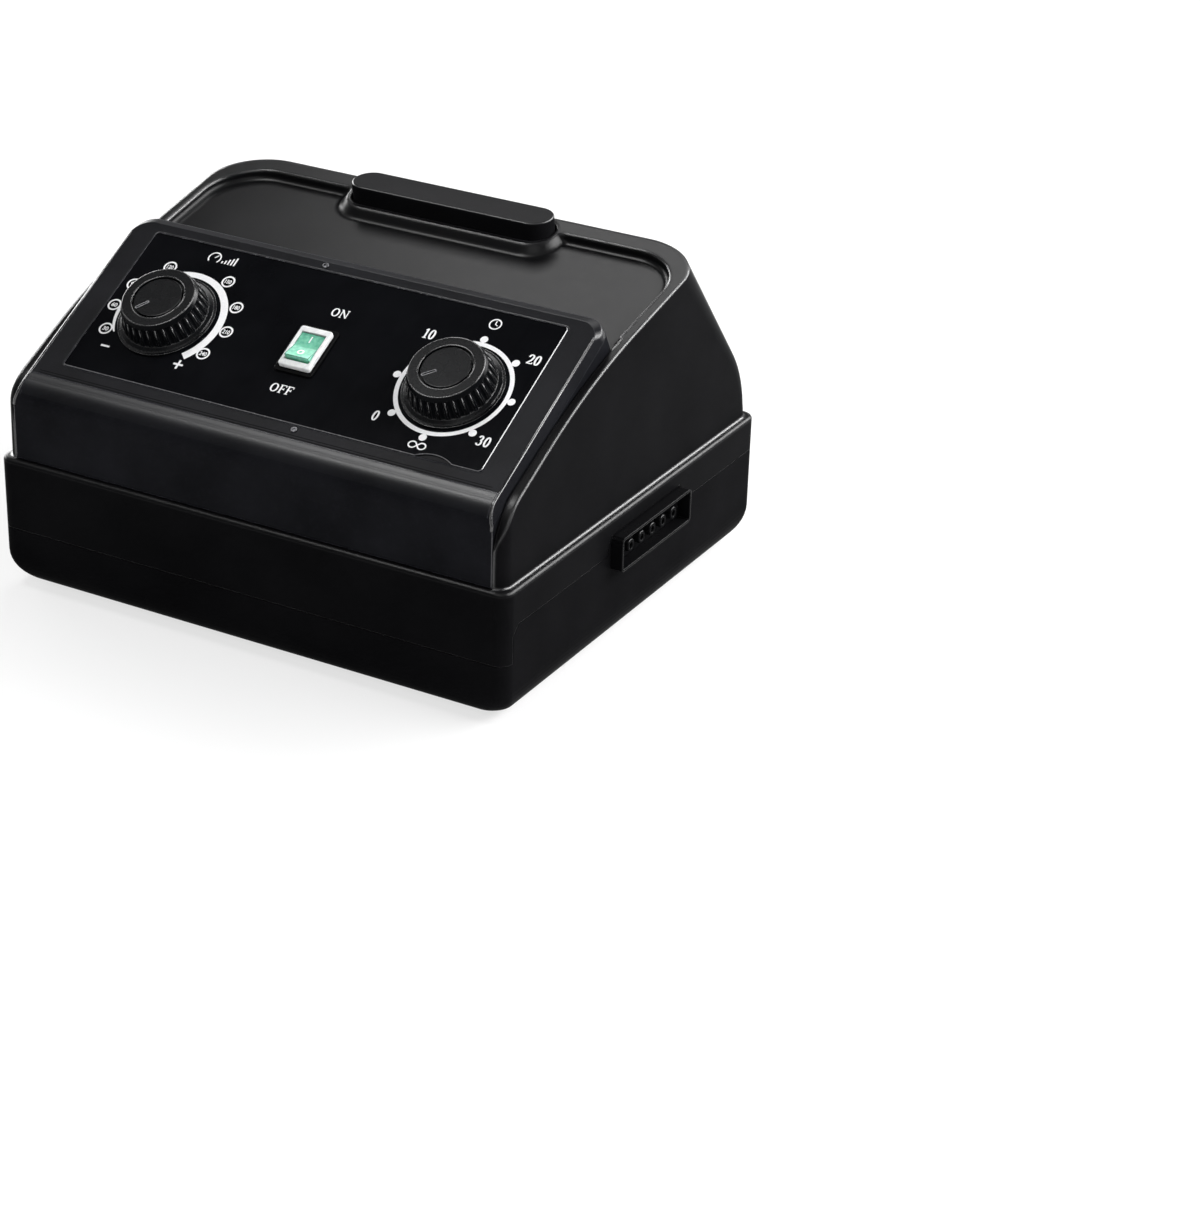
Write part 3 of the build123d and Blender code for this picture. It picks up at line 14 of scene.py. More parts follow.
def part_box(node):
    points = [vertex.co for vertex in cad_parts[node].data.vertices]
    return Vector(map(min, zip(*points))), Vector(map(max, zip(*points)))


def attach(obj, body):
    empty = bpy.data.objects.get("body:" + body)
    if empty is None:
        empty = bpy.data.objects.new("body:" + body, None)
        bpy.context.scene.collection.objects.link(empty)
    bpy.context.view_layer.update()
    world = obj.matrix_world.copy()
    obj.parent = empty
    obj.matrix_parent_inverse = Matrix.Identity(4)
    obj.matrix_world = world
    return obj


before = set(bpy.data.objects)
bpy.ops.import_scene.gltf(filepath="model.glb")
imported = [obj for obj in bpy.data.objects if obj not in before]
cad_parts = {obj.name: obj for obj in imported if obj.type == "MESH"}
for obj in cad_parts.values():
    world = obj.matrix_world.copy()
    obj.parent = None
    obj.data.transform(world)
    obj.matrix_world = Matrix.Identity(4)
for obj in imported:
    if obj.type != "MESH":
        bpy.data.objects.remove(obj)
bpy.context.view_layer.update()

MM = 0.001

# ---------------------------------------------------------------- camera
IMAGE_WIDTH, IMAGE_HEIGHT = 1200, 1226
FOCAL_PIXELS = 3040.2
SENSOR_MM = 36.0
CAMERA_YAW, CAMERA_PITCH, CAMERA_ROLL = (math.radians(a) for a in (28.1, 26.63, 1.97))
CAMERA_DISTANCE = 1318.75 * MM
CAMERA_ACROSS = 92.44 * MM
CAMERA_UP = -25.82 * MM
AIM_POINT = Vector((-2.6, 0, 2.0)) * MM
FAR_CLIP = 50


def make_camera():
    """Stands where the photographer stood, with the pump in the upper left of the frame."""
    back = Vector(
        (
            math.sin(CAMERA_YAW) * math.cos(CAMERA_PITCH),
            -math.cos(CAMERA_YAW) * math.cos(CAMERA_PITCH),
            math.sin(CAMERA_PITCH),
        )
    )
    level_right = Vector((math.cos(CAMERA_YAW), math.sin(CAMERA_YAW), 0))
    level_up = back.cross(level_right)
    right = math.cos(CAMERA_ROLL) * level_right + math.sin(CAMERA_ROLL) * level_up
    up = math.cos(CAMERA_ROLL) * level_up - math.sin(CAMERA_ROLL) * level_right
    data = bpy.data.cameras.new("camera")
    data.sensor_width = SENSOR_MM
    data.lens = FOCAL_PIXELS / max(IMAGE_WIDTH, IMAGE_HEIGHT) * SENSOR_MM
    data.clip_end = FAR_CLIP
    camera = bpy.data.objects.new("camera", data)
    bpy.context.scene.collection.objects.link(camera)
    turn = Matrix((right, up, back)).transposed().to_4x4()
    place = AIM_POINT + CAMERA_DISTANCE * back + CAMERA_ACROSS * right + CAMERA_UP * up
    camera.matrix_world = Matrix.Translation(place) @ turn
    bpy.context.scene.camera = camera


make_camera()

# ---------------------------------------------------------------- node trees


def wire(tree, node, sockets):
    """Sets a node's sockets. A socket given another node's socket is linked to it."""
    for name, value in sockets.items():
        if isinstance(value, bpy.types.NodeSocket):
            tree.links.new(value, node.inputs[name])
        else:
            node.inputs[name].default_value = value


def put(tree, kind, sockets=None, **settings):
    """Adds a shader node with its settings and sockets."""
    made = tree.nodes.new(kind)
    for name, value in settings.items():
        setattr(made, name, value)
    wire(tree, made, sockets or {})
    return made


def start_material(name):
    """A material with its shader, and the object coordinates that its patterns follow."""
    material = bpy.data.materials.new(name)
    material.use_nodes = True
    tree = material.node_tree
    place = put(tree, "ShaderNodeTexCoord").outputs["Object"]
    return material, tree, tree.nodes["Principled BSDF"], place


def noise(tree, place, cell, detail=2.0, rough=0.5):
    """Soft random blotches about one cell across, in metres."""
    sockets = {"Vector": place, "Scale": 1 / cell, "Detail": detail, "Roughness": rough}
    return put(tree, "ShaderNodeTexNoise", sockets).outputs["Fac"]


def between(tree, factor, low, high, start=0.3, stop=0.7):
    """A number that goes from low to high as the factor goes from start to stop."""
    sockets = {"Value": factor, "From Min": start, "From Max": stop, "To Min": low, "To Max": high}
    return put(tree, "ShaderNodeMapRange", sockets).outputs["Result"]


# the Mix node has several sockets of the same name, so they go by number
NUMBER_A, NUMBER_B, MIXED_NUMBER = 2, 3, 0
COLOUR_A, COLOUR_B, MIXED_COLOUR = 6, 7, 2


def opaque(colour):
    """A plain colour as a socket takes it. One that another node makes stays as it is."""
    return colour if isinstance(colour, bpy.types.NodeSocket) else (*colour, 1)


def blend_colours(tree, factor, first, second):
    """A colour between two, by the factor."""
    sockets = {"Factor": factor, COLOUR_A: opaque(first), COLOUR_B: opaque(second)}
    return put(tree, "ShaderNodeMix", sockets, data_type="RGBA").outputs[MIXED_COLOUR]


def mix_numbers(tree, factor, first, second):
    """A number between two, by the factor."""
    sockets = {"Factor": factor, NUMBER_A: first, NUMBER_B: second}
    return put(tree, "ShaderNodeMix", sockets).outputs[MIXED_NUMBER]


def drifting(tree, place, cell, dark, light, detail=2.0):
    """A colour that drifts between two in soft blotches about one cell across."""
    return blend_colours(tree, between(tree, noise(tree, place, cell, detail), 0, 1), dark, light)


def height_of(tree, vector):
    """The Z of a vector."""
    return put(tree, "ShaderNodeSeparateXYZ", {0: vector}).outputs["Z"]


def combine(tree, how, first, second):
    """What a named sum, such as MULTIPLY or MINIMUM, makes of two numbers."""
    return put(tree, "ShaderNodeMath", {0: first, 1: second}, operation=how).outputs[0]


EDGE_SAMPLES = 12
# the cosine between the rounded direction and the true one, on a crest and on the flat
CREST_DOTS = 0.86, 0.995


def soft_edges(tree, radius):
    """The surface's own direction, with every edge rounded over."""
    edges = put(tree, "ShaderNodeBevel", {"Radius": radius}, samples=EDGE_SAMPLES)
    return edges.outputs["Normal"]


def edge_mask(tree, rounded):
    """1 on a corner's crest and 0 on the flat, by how far the rounded direction leaves the true."""
    true = put(tree, "ShaderNodeNewGeometry").outputs["Normal"]
    dot = put(tree, "ShaderNodeVectorMath", {0: rounded, 1: true}, operation="DOT_PRODUCT")
    return between(tree, dot.outputs["Value"], 1.0, 0.0, *CREST_DOTS)


def roughen(tree, place, normal, cell, depth):
    """A fine moulded grain on top of a surface direction."""
    grain = noise(tree, place, cell, 3.0, 0.6)
    sockets = {"Strength": 1.0, "Distance": depth, "Height": grain, "Normal": normal}
    return put(tree, "ShaderNodeBump", sockets).outputs["Normal"]


# ---------------------------------------------------------------- materials

# a moulded surface's gloss goes by how far it faces up: from a wall, over a curve, to the top
WALL_TO_CURVE, CURVE_TO_TOP = (0.35, 0.7), (0.8, 0.865)
# crests are rougher, and paler by this much: partly wear, partly a painted highlight
CREST_ROUGHNESS, WEAR_AND_HIGHLIGHT_BRIGHTER = 0.25, 6
# its colour drifts to the lighter one in blotches and in speckles, and its dullness in patches
DRIFT_CELL, DRIFT_SHARE = 0.03, 0.7
SPECKLE_GRAINS, SPECKLE_SHARE, SPECKLE_BAND = 2.5, 0.35, (0.5, 0.75)
DULL_CELL, DULLER_BY, GLOSSIER_BY = 0.004, 0.015, 0.01
# the radius of an edge that stays sharp, and the height over which it turns soft
SHARP, SHARP_FADE = 0.0001, 0.003


def moulded(
    name,
    dark,
    light,
    roughness=0.32,
    shine=0.08,
    wall_shine=0.004,
    curve_shine=0.5,
    edge_shine=0.8,
    grain=0.0007,
    depth=0.00001,
    rounding=0.0006,
    wear_and_highlight=0.4,
    sharp_below=None,
):
    """Moulded plastic: satin on top, matt on walls, glossier on its curves and along its edges.

    The grain is its cell in metres. The argument worn is how much paler the crests are, partly from
    wear and partly as a painted highlight. Under the height sharp_below the edges stay sharp.
    """
    material, tree, shader, place = start_material(name)
    if sharp_below is not None:
        level = height_of(tree, place)
        rounding = between(tree, level, SHARP, rounding, sharp_below, sharp_below + SHARP_FADE)
    rounded = soft_edges(tree, rounding)
    crest = edge_mask(tree, rounded)
    drift = noise(tree, place, DRIFT_CELL)
    speckle = noise(tree, place, grain * SPECKLE_GRAINS, 2.0, 0.7)
    speckled = between(tree, speckle, 0.0, SPECKLE_SHARE, *SPECKLE_BAND)
    colour = blend_colours(tree, between(tree, drift, 0.0, DRIFT_SHARE), dark, light)
    colour = blend_colours(tree, speckled, colour, light)
    # the crests' paler colour: partly wear, partly a painted highlight
    rubbed_and_highlight = tuple(min(1, WEAR_AND_HIGHLIGHT_BRIGHTER * part) for part in light)
    rise = height_of(tree, rounded)
    leaving_wall = between(tree, rise, wall_shine, curve_shine, *WALL_TO_CURVE)
    nearing_top = between(tree, rise, curve_shine, shine, *CURVE_TO_TOP)
    gloss = combine(tree, "MINIMUM", leaving_wall, nearing_top)
    patches = noise(tree, place, DULL_CELL, 3.0)
    dull = between(tree, patches, roughness - GLOSSIER_BY, roughness + DULLER_BY)
    sockets = {
        "Base Color": blend_colours(tree, combine(tree, "MULTIPLY", crest, wear_and_highlight), colour, rubbed_and_highlight),
        "Specular IOR Level": mix_numbers(tree, crest, gloss, edge_shine),
        "Roughness": mix_numbers(tree, crest, dull, CREST_ROUGHNESS),
        "Normal": roughen(tree, place, rounded, grain, depth),
    }
    wire(tree, shader, sockets)
    return material


def metal(name, dark, light, roughness, brushed=(1, 1, 1)):
    """Metal with a drawn or cast grain and duller patches."""
    material, tree, shader, place = start_material(name)
    stretch = put(tree, "ShaderNodeMapping", {"Vector": place, "Scale": brushed}).outputs["Vector"]
    streaks = noise(tree, stretch, 0.001, 4.0, 0.7)
    sockets = {
        "Base Color": blend_colours(tree, between(tree, streaks, 0, 1), dark, light),
        "Roughness": between(tree, noise(tree, place, 0.006), roughness - 0.06, roughness + 0.12),
        "Normal": roughen(tree, stretch, soft_edges(tree, 0.0003), 0.0008, 0.00001),
        "Metallic": 1.0,
    }
    wire(tree, shader, sockets)
    return material


CASE_BLACK = (0.0036, 0.0036, 0.004), (0.006, 0.006, 0.0066)


def case_plastic():
    """The case's black plastic, as it is on its smaller pieces."""
    return moulded("case_plastic", *CASE_BLACK)


def cover_plastic():
    """The case's plastic on the top cover, whose rim has the softest edges and seam is crisp."""
    return moulded(
        "cover_plastic",
        *CASE_BLACK,
        curve_shine=0.3,
        edge_shine=1.0,
        rounding=0.0024,
        sharp_below=0.053,
    )


def tray_plastic():
    """The case's plastic on the bottom tray, whose edge at the seam stays dark."""
    return moulded(
        "tray_plastic",
        *CASE_BLACK,
        wall_shine=0.002,
        edge_shine=0.01,
        rounding=0.0003,
        wear_and_highlight=0.0,
    )


def console_plastic():
    """The console's plastic, with the coarsest grain."""
    return moulded(
        "console_plastic",
        (0.005, 0.0052, 0.0064),
        (0.0115, 0.0118, 0.0145),
        roughness=0.34,
        wall_shine=0.015,
        grain=0.0009,
        depth=0.00003,
        rounding=0.0009,
    )


def handle_plastic():
    """The handle's plastic, matt on top and bright round its edges, from gloss there and a painted
    highlight on the crests.
    """
    return moulded(
        "handle_plastic",
        (0.005, 0.005, 0.0056),
        (0.009, 0.009, 0.01),
        roughness=0.36,
        shine=0.04,
        curve_shine=0.9,
        edge_shine=1.0,
    )


def knob_plastic():
    """The knobs' plastic, smooth, and the darkest."""
    return moulded(
        "knob_plastic",
        (0.0016, 0.0018, 0.0024),
        (0.003, 0.0033, 0.0042),
        roughness=0.27,
        shine=0.14,
        wall_shine=0.03,
        curve_shine=0.4,
        edge_shine=1.0,
        grain=0.0004,
        depth=0.000001,
        rounding=0.0003,
        wear_and_highlight=0.0,
    )


def port_plastic():
    """The plastic of the outlet port and of the fittings in the back."""
    return moulded(
        "port_plastic",
        (0.003, 0.003, 0.0034),
        (0.005, 0.005, 0.0055),
        roughness=0.28,
        edge_shine=0.12,
        wear_and_highlight=0.0,
    )


def inner_plastic():
    """The grey plastic of the works inside the case."""
    return moulded(
        "inner_plastic",
        (0.03, 0.03, 0.032),
        (0.07, 0.07, 0.075),
        roughness=0.45,
        shine=0.4,
        wall_shine=0.4,
        curve_shine=0.4,
    )


def label_film():
    """A polyester overlay: black ink under a clear glossy skin with faint wipe marks."""
    material, tree, shader, place = start_material("label_film")
    wipes = {"Vector": place, "Scale": (1.0, 0.12, 0.12)}
    stretch = put(tree, "ShaderNodeMapping", wipes).outputs["Vector"]
    ink = (0.0026, 0.0028, 0.0036), (0.0042, 0.0045, 0.0056)
    sockets = {
        "Base Color": drifting(tree, place, 0.02, *ink),
        "Roughness": between(tree, noise(tree, stretch, 0.002, 4.0), 0.1, 0.13),
        "Normal": roughen(tree, place, soft_edges(tree, SHARP), 0.012, 0.00001),
        "Specular IOR Level": 0.07,
    }
    wire(tree, shader, sockets)
    return material


def print_ink():
    """Screen-printed white ink, slightly uneven in cover."""
    material, tree, shader, place = start_material("print_ink")
    cover = noise(tree, place, 0.0006, 3.0)
    whites = (0.78, 0.78, 0.8), (0.9, 0.9, 0.9)
    sockets = {
        "Base Color": blend_colours(tree, between(tree, cover, 0, 1), *whites),
        "Roughness": between(tree, cover, 0.35, 0.5),
    }
    wire(tree, shader, sockets)
    return material


def bright_edge(name, dark, light):
    """A crisp glossy edge, which catches the light. Where its colours are paler than the body it
    sits on, they are a painted highlight.
    """
    material, tree, shader, place = start_material(name)
    cut = noise(tree, place, 0.002, 3.0)
    sockets = {
        "Base Color": blend_colours(tree, between(tree, cut, 0, 1), dark, light),
        "Roughness": between(tree, cut, 0.15, 0.3),
        "Specular IOR Level": 1.0,
    }
    wire(tree, shader, sockets)
    return material


def groove_shade():
    """Painted shade: the dark bottom of a groove, laid on as a flat strip."""
    material, tree, shader, place = start_material("pointer_shade")
    blacks = (0.001, 0.001, 0.0012), (0.004, 0.004, 0.0045)
    sockets = {
        "Base Color": drifting(tree, place, 0.0008, *blacks, 3.0),
        "Roughness": 0.6,
        "Specular IOR Level": 0.02,
    }
    wire(tree, shader, sockets)
    return material


def switch_white():
    """Glossy white switch plastic, a little grey in soft random patches."""
    material, tree, shader, place = start_material("switch_white")
    drift = noise(tree, place, 0.004, 3.0)
    whites = (0.7, 0.71, 0.72), (0.84, 0.84, 0.84)
    sockets = {
        "Base Color": blend_colours(tree, between(tree, drift, 0, 1), *whites),
        "Roughness": between(tree, drift, 0.22, 0.32),
        "Normal": roughen(tree, place, soft_edges(tree, 0.0003), 0.0006, 0.000005),
    }
    wire(tree, shader, sockets)
    return material


def rocker_green():
    """Clear green lens plastic, cloudy, with painted light on its lower end and painted shade up
    its upper end and round its rims.
    """
    material, tree, shader, place = start_material("rocker_green")
    low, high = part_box("rocker_button")
    along = put(tree, "ShaderNodeSeparateXYZ", {0: place}).outputs["Y"]
    rise = between(tree, along, 0.0, 1.0, low.y, high.y)
    cloud = noise(tree, place, 0.0018, 3.0)
    cloudy = between(tree, cloud, 0, 1)
    # painted light and shade: pale green at the rocker's lower end, dark green up its upper end
    painted_lit_green = blend_colours(tree, cloudy, (0.17, 0.58, 0.4), (0.34, 0.82, 0.62))
    painted_shaded_green = blend_colours(tree, cloudy, (0.09, 0.38, 0.25), (0.2, 0.6, 0.42))
    body = blend_colours(tree, rise, painted_lit_green, painted_shaded_green)
    # painted shade: the rims darkened
    rim = edge_mask(tree, soft_edges(tree, 0.0007))
    sockets = {
        "Base Color": blend_colours(tree, rim, body, (0.02, 0.1, 0.065)),
        "Roughness": between(tree, cloud, 0.12, 0.2),
        "Normal": roughen(tree, place, soft_edges(tree, 0.0004), 0.0012, 0.00001),
        "Subsurface Weight": 0.4,
        "Subsurface Radius": (0.0008, 0.003, 0.0016),
        "Coat Weight": 0.6,
        "Coat Roughness": 0.08,
    }
    wire(tree, shader, sockets)
    return material


def rubber(name, dark, light):
    """Dull moulded rubber."""
    return moulded(
        name,
        dark,
        light,
        roughness=0.6,
        shine=0.04,
        wall_shine=0.03,
        curve_shine=0.06,
        edge_shine=0.1,
        grain=0.0005,
        depth=0.00002,
        rounding=0.0004,
        wear_and_highlight=0.0,
    )


def board_green():
    """Solder resist over copper tracks."""
    material, tree, shader, place = start_material("board_green")
    pattern = {"Vector": place, "Scale": 160.0, "Mortar Size": 0.03}
    tracks = put(tree, "ShaderNodeTexBrick", pattern, offset=0.37).outputs["Fac"]
    sockets = {
        "Base Color": blend_colours(tree, tracks, (0.01, 0.09, 0.035), (0.03, 0.2, 0.08)),
        "Roughness": between(tree, noise(tree, place, 0.002), 0.25, 0.4),
    }
    wire(tree, shader, sockets)
    return material


def filter_foam():
    """Open-cell foam."""
    material, tree, shader, place = start_material("filter_foam")
    pattern = {"Vector": place, "Scale": 900.0}
    cells = put(tree, "ShaderNodeTexVoronoi", pattern).outputs["Distance"]
    bumps = put(tree, "ShaderNodeBump", {"Distance": 0.0005, "Height": cells})
    sockets = {
        "Base Color": blend_colours(tree, cells, (0.01, 0.01, 0.011), (0.05, 0.05, 0.055)),
        "Roughness": 0.9,
        "Normal": bumps.outputs["Normal"],
    }
    wire(tree, shader, sockets)
    return material


MATERIALS = {
    "case_plastic": case_plastic(),
    "console_plastic": console_plastic(),
    "label_film": label_film(),
    "knob_plastic": knob_plastic(),
    "switch_white": switch_white(),
    "rocker_green": rocker_green(),
    "gasket_rubber": rubber("gasket_rubber", (0.0015, 0.0015, 0.0018), (0.004, 0.004, 0.0045)),
    "handle_plastic": handle_plastic(),
    "port_plastic": port_plastic(),
    "inner_plastic": inner_plastic(),
    "hose_rubber": rubber("hose_rubber", (0.05, 0.05, 0.052), (0.09, 0.09, 0.092)),
    "cast_metal": metal("cast_metal", (0.3, 0.3, 0.31), (0.45, 0.45, 0.46), 0.5),
    "sheet_steel": metal("sheet_steel", (0.2, 0.2, 0.21), (0.42, 0.42, 0.44), 0.32, (1, 0.1, 1)),
    "black_steel": metal("black_steel", (0.08, 0.08, 0.085), (0.16, 0.16, 0.17), 0.3),
    "coil_copper": metal("coil_copper", (0.45, 0.17, 0.07), (0.7, 0.32, 0.14), 0.35, (0.1, 4, 4)),
    "terminal_brass": metal(
        "terminal_brass", (0.5, 0.36, 0.13), (0.7, 0.55, 0.25), 0.3, (1, 1, 0.2)
    ),
    "board_green": board_green(),
    "filter_foam": filter_foam(),
}

# the pieces whose finish isn't that of their slot
OWN_FINISHES = {
    "top_cover": cover_plastic(),
    "bottom_tray": tray_plastic(),
    "mains_inlet": MATERIALS["port_plastic"],
    "fuse_holder": MATERIALS["port_plastic"],
}

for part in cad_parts.values():
    for holder in part.material_slots:
        holder.material = MATERIALS[holder.material.name.split(".")[0]]
for node_name, finish in OWN_FINISHES.items():
    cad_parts[node_name].material_slots[0].material = finish

# ---------------------------------------------------------------- places, in millimetres

# the panel's own space: u goes right, v up its slope and h out of it
CASE_X = -2.6
PANEL_TILT = math.radians(29.18)
PANEL_ORIGIN = Vector((CASE_X, -56.34, 117.01))
PANEL_UP = Vector((0, math.cos(PANEL_TILT), math.sin(PANEL_TILT)))
PANEL_OUT = Vector((0, -math.sin(PANEL_TILT), math.cos(PANEL_TILT)))

# the label, with the finger notch in its lower side
LABEL_TOP = 0.1
LABEL_HALF_WIDTH, LABEL_HALF_DEPTH, LABEL_CORNER_R = 100.0, 38.4, 2.0
LABEL_RIM_WIDTH = 0.3
NOTCH_U, NOTCH_R, NOTCH_DEPTH = 78.5, 15.7, 2.4

# the ink on it. Each stroke ends a hair higher than the last, so that no two tops share a plane
INK_BOTTOM, INK_TOP = LABEL_TOP - 0.02, LABEL_TOP + 0.03
STROKE_STEP = 0.001
SIGN_PEN, HAND_PEN = 0.6, 0.5

# the dials' middles, and how far their pointers are turned at rest
DIAL_V = -3.14
PRESSURE_DIAL, TIME_DIAL = (-68.9, DIAL_V), (68.9, DIAL_V)
PRESSURE_POINTER_TURN, TIME_POINTER_TURN = -130, -141

# the printed time scale, with its minutes, its clock and its endless sign
TIME_RING = 22.7, 24.6
TIME_DOT_COUNT, TIME_DOT_PLACE, TIME_DOT_R = 8, 26.2, 1.7
MINUTES = {"0": (44.7, -24.8), "10": (45.4, 19.5), "20": (94.0, 19.0), "30": (93.8, -24.2)}
MINUTE_HEIGHT = 5.0
CLOCK_PLACE, CLOCK_R = (69.6, 31.6), 2.5
CLOCK_LONG_HAND, CLOCK_SHORT_HAND = 1.7, (1.2, -0.6)
ENDLESS_PLACE, ENDLESS_REACH, ENDLESS_RADII, ENDLESS_OPEN = (68.6, -33.6), 2.1, (1.7, 1.5), 50

# the printed pressure scale, with its gauge, its rising bars, its minus and its plus
BAND_TURNS = 215, -43
BAND_INNER, BAND_OUTER, BAND_GROWTH = 22.8, 23.3, 3.2
# each mark: its number, and its radius and angle about the dial
PRESSURE_MARKS = (
    (30, 26.7, 208.3),
    (60, 27, 180),
    (90, 28, 153.7),
    (120, 29, 119.4),
    (150, 29.2, 58),
    (180, 29.6, 26),
    (210, 29.3, 0),
    (240, 29, -27),
)
MARK_RING = 2.3, 3.05
MARK_HEIGHT, MARK_BOLD, MARK_NARROW = 2.1, 0.02, 0.8
GAUGE_PLACE, GAUGE_R, GAUGE_TURNS = (-66.5, 32.0), 2.8, (225, -45)
NEEDLE_LENGTH, NEEDLE_TURN = 2.1, 50
BAR_COUNT, BAR_U, BAR_PITCH, BAR_FOOT = 5, -62.0, 1.5, 30.0
BAR_TOP, BAR_RISE, BAR_WIDTH = 31.2, 0.8, 0.7
MINUS_PLACE, MINUS_REACH = (-87.2, -24.3), 2.1
PLUS_PLACE, PLUS_REACH = (-50.5, -24.4), 2.3
PLUS_WIDTH = 0.95

# the words at the switch
SWITCH_WORDS = {"ON": (3.0, 19.2), "OFF": (-0.5, -23.6)}
WORD_HEIGHT = 4.3

# the knobs: their pointers, each ring's radius, height and bead, and the ends of a flute's crest
KNOB_TOP = 12.5
POINTER_NEAR, POINTER_FAR, POINTER_WIDTH = 4.6, 9.6, 0.7
# the pointer's groove: a flat dark strip of painted shade, this far under and over the cap
GROOVE_DEPTH, GROOVE_RISE = 0.02, 0.01
LIP_R, LIP_BEAD = 0.5, 0.2
RING_SIDES = 72
KNOB_RINGS = ((15.4, 12.2, 0.36), (11.45, 12.4, 0.32), (21.15, 1.0, 0.14))
FLUTE_COUNT, FLUTE_BEAD = 30, 0.3
FLUTE_CREST = ((18.3, 2.9), (16.45, 10.4))

# the fascia's side edges, which flare out round the nose
EDGE_U, EDGE_TOP_V, EDGE_SINK, EDGE_BEAD = 111.9, 36.0, 0.4, 0.7
EDGE_FLARE, EDGE_FLARE_DROP = 2.0, 4.4
EDGE_TURN_STEP, EDGE_TURN = 5, 60

# the console's nose, the skin over it, and the lines of painted groove shade above it
NOSE_V, NOSE_R = -48.73, 11.8
NOSE_STEP_V, NOSE_STEP_H = -45.6, 0.36
NOSE_SKIN = 0.06
NOSE_ROOT = 3 * NOSE_SKIN
NOSE_TURN_STEP, NOSE_TURN = 3, 51
NOSE_HALF_WIDTH = 111.6
BEZEL_LINES_V = (-43.6, -44.7)
BEZEL_LINE_HALF, BEZEL_LINE_WIDTH, BEZEL_LINE_RELIEF = 108.0, 0.28, 0.02

# the rocker at rest, and its marks
ROCKER_V, ROCKER_AXIS_H = -3.2, 1.1
ROCKER_LEAN = math.radians(9.0)
ROCKER_DIP, ROCKER_CREST, ROCKER_HALF = 1.5, 2.6, 7.1
ROCKER_INK = -0.02, 0.04
ON_BAR, ON_BAR_WIDTH = ((0, 2.5), (0, 5.8)), 0.6
OFF_RING_PLACE, OFF_RING = (0, -3.6), (0.8, 1.55)

# the mains inlet's pins
INLET_PLACE = (CASE_X - 78.0, 25.0)
PIN_PITCH, PIN_R, PIN_NOSE, PIN_SIDES = 8.6, 1.25, 0.5, 24
PIN_ROOT_Y, PIN_END_Y = 94.4, 105.35


def on_panel(u, v, h):
    """The row-frame place, in metres, of a point in the panel's own millimetres."""
    return (PANEL_ORIGIN + u * Vector((1, 0, 0)) + v * PANEL_UP + h * PANEL_OUT) * MM


def on_rocker(u, v, h):
    """The same on the green rocker, from the middle of its dip."""
    along = PANEL_UP * math.cos(ROCKER_LEAN) - PANEL_OUT * math.sin(ROCKER_LEAN)
    out = PANEL_OUT * math.cos(ROCKER_LEAN) + PANEL_UP * math.sin(ROCKER_LEAN)
    rise = ROCKER_DIP + (ROCKER_CREST - ROCKER_DIP) * abs(v) / ROCKER_HALF + h
    return on_panel(u, ROCKER_V, ROCKER_AXIS_H) + (v * along + rise * out) * MM


def around(centre, radius, degrees):
    """A point at a radius and an angle about a centre on the panel."""
    angle = math.radians(degrees)
    return centre[0] + radius * math.cos(angle), centre[1] + radius * math.sin(angle)


def bow(centre, radii, start, stop, step=12):
    """Points along an arc of an ellipse, between two angles in degrees."""
    count = max(2, round(abs(stop - start) / step))
    turns = [math.radians(start + (stop - start) * index / count) for index in range(count + 1)]
    (u, v), (across, up) = centre, radii
    return [(u + across * math.cos(turn), v + up * math.sin(turn)) for turn in turns]


# each character is one high, about its own middle: its advance, then strokes of a pen and points
STEM, ARM, HAIR, PEN_THIN = 0.165, 0.12, 0.09, 0.085
GLYPHS = {
    "0": (0.62, [(STEM, bow((0, 0), (0.19, 0.455), 0, 360))]),
    "1": (
        0.5,
        [
            (STEM, [(0.02, -0.46), (0.02, 0.5)]),
            (HAIR, [(-0.15, 0.33), (0.02, 0.47)]),
            (HAIR, [(-0.16, -0.46), (0.2, -0.46)]),
        ],
    ),
    "2": (
        0.6,
        [
            (STEM, [*bow((-0.02, 0.22), (0.18, 0.235), 185, -30), (0.06, -0.12), (-0.2, -0.42)]),
            (ARM, [(-0.24, -0.43), (0.02, -0.435), (0.24, -0.42), (0.26, -0.3)]),
        ],
    ),
    "3": (
        0.6,
        [
            (STEM, bow((-0.03, 0.24), (0.15, 0.215), 170, -85)),
            (STEM, bow((-0.04, -0.2), (0.19, 0.255), 82, -160)),
        ],
    ),
    "O": (0.96, [(STEM, bow((0, 0), (0.33, 0.455), 0, 360, 10))]),
    "N": (
        0.98,
        [
            (STEM, [(-0.32, 0.46), (0.32, -0.47)]),
            (HAIR, [(-0.31, -0.46), (-0.31, 0.44)]),
            (HAIR, [(0.32, -0.4), (0.32, 0.46)]),
            (HAIR, [(-0.45, 0.46), (-0.22, 0.46)]),
            (HAIR, [(-0.43, -0.46), (-0.19, -0.46)]),
            (HAIR, [(0.19, 0.46), (0.45, 0.46)]),
        ],
    ),
    "F": (
        0.78,
        [
            (STEM, [(-0.17, -0.46), (-0.17, 0.46)]),
            (HAIR, [(-0.32, 0.46), (0.3, 0.46)]),
            (HAIR, [(0.3, 0.48), (0.32, 0.27)]),
            (HAIR, [(-0.17, 0.01), (0.16, 0.01)]),
            (HAIR, [(0.16, 0.12), (0.16, -0.1)]),
            (HAIR, [(-0.32, -0.46), (0.0, -0.46)]),
        ],
    ),
}

# a line is closed if its ends are nearer than SAME, and points of a letter nearer than WELD are one
SAME, WELD = 1e-6, 1e-5


def neighbours(points, index, closed):
    """The points before and after one, which at an open end is the point itself."""
    last = len(points) - 1
    before = points[index - 1 if index or closed else 0]
    after = points[(index + 1) % len(points) if closed else min(last, index + 1)]
    return before, after


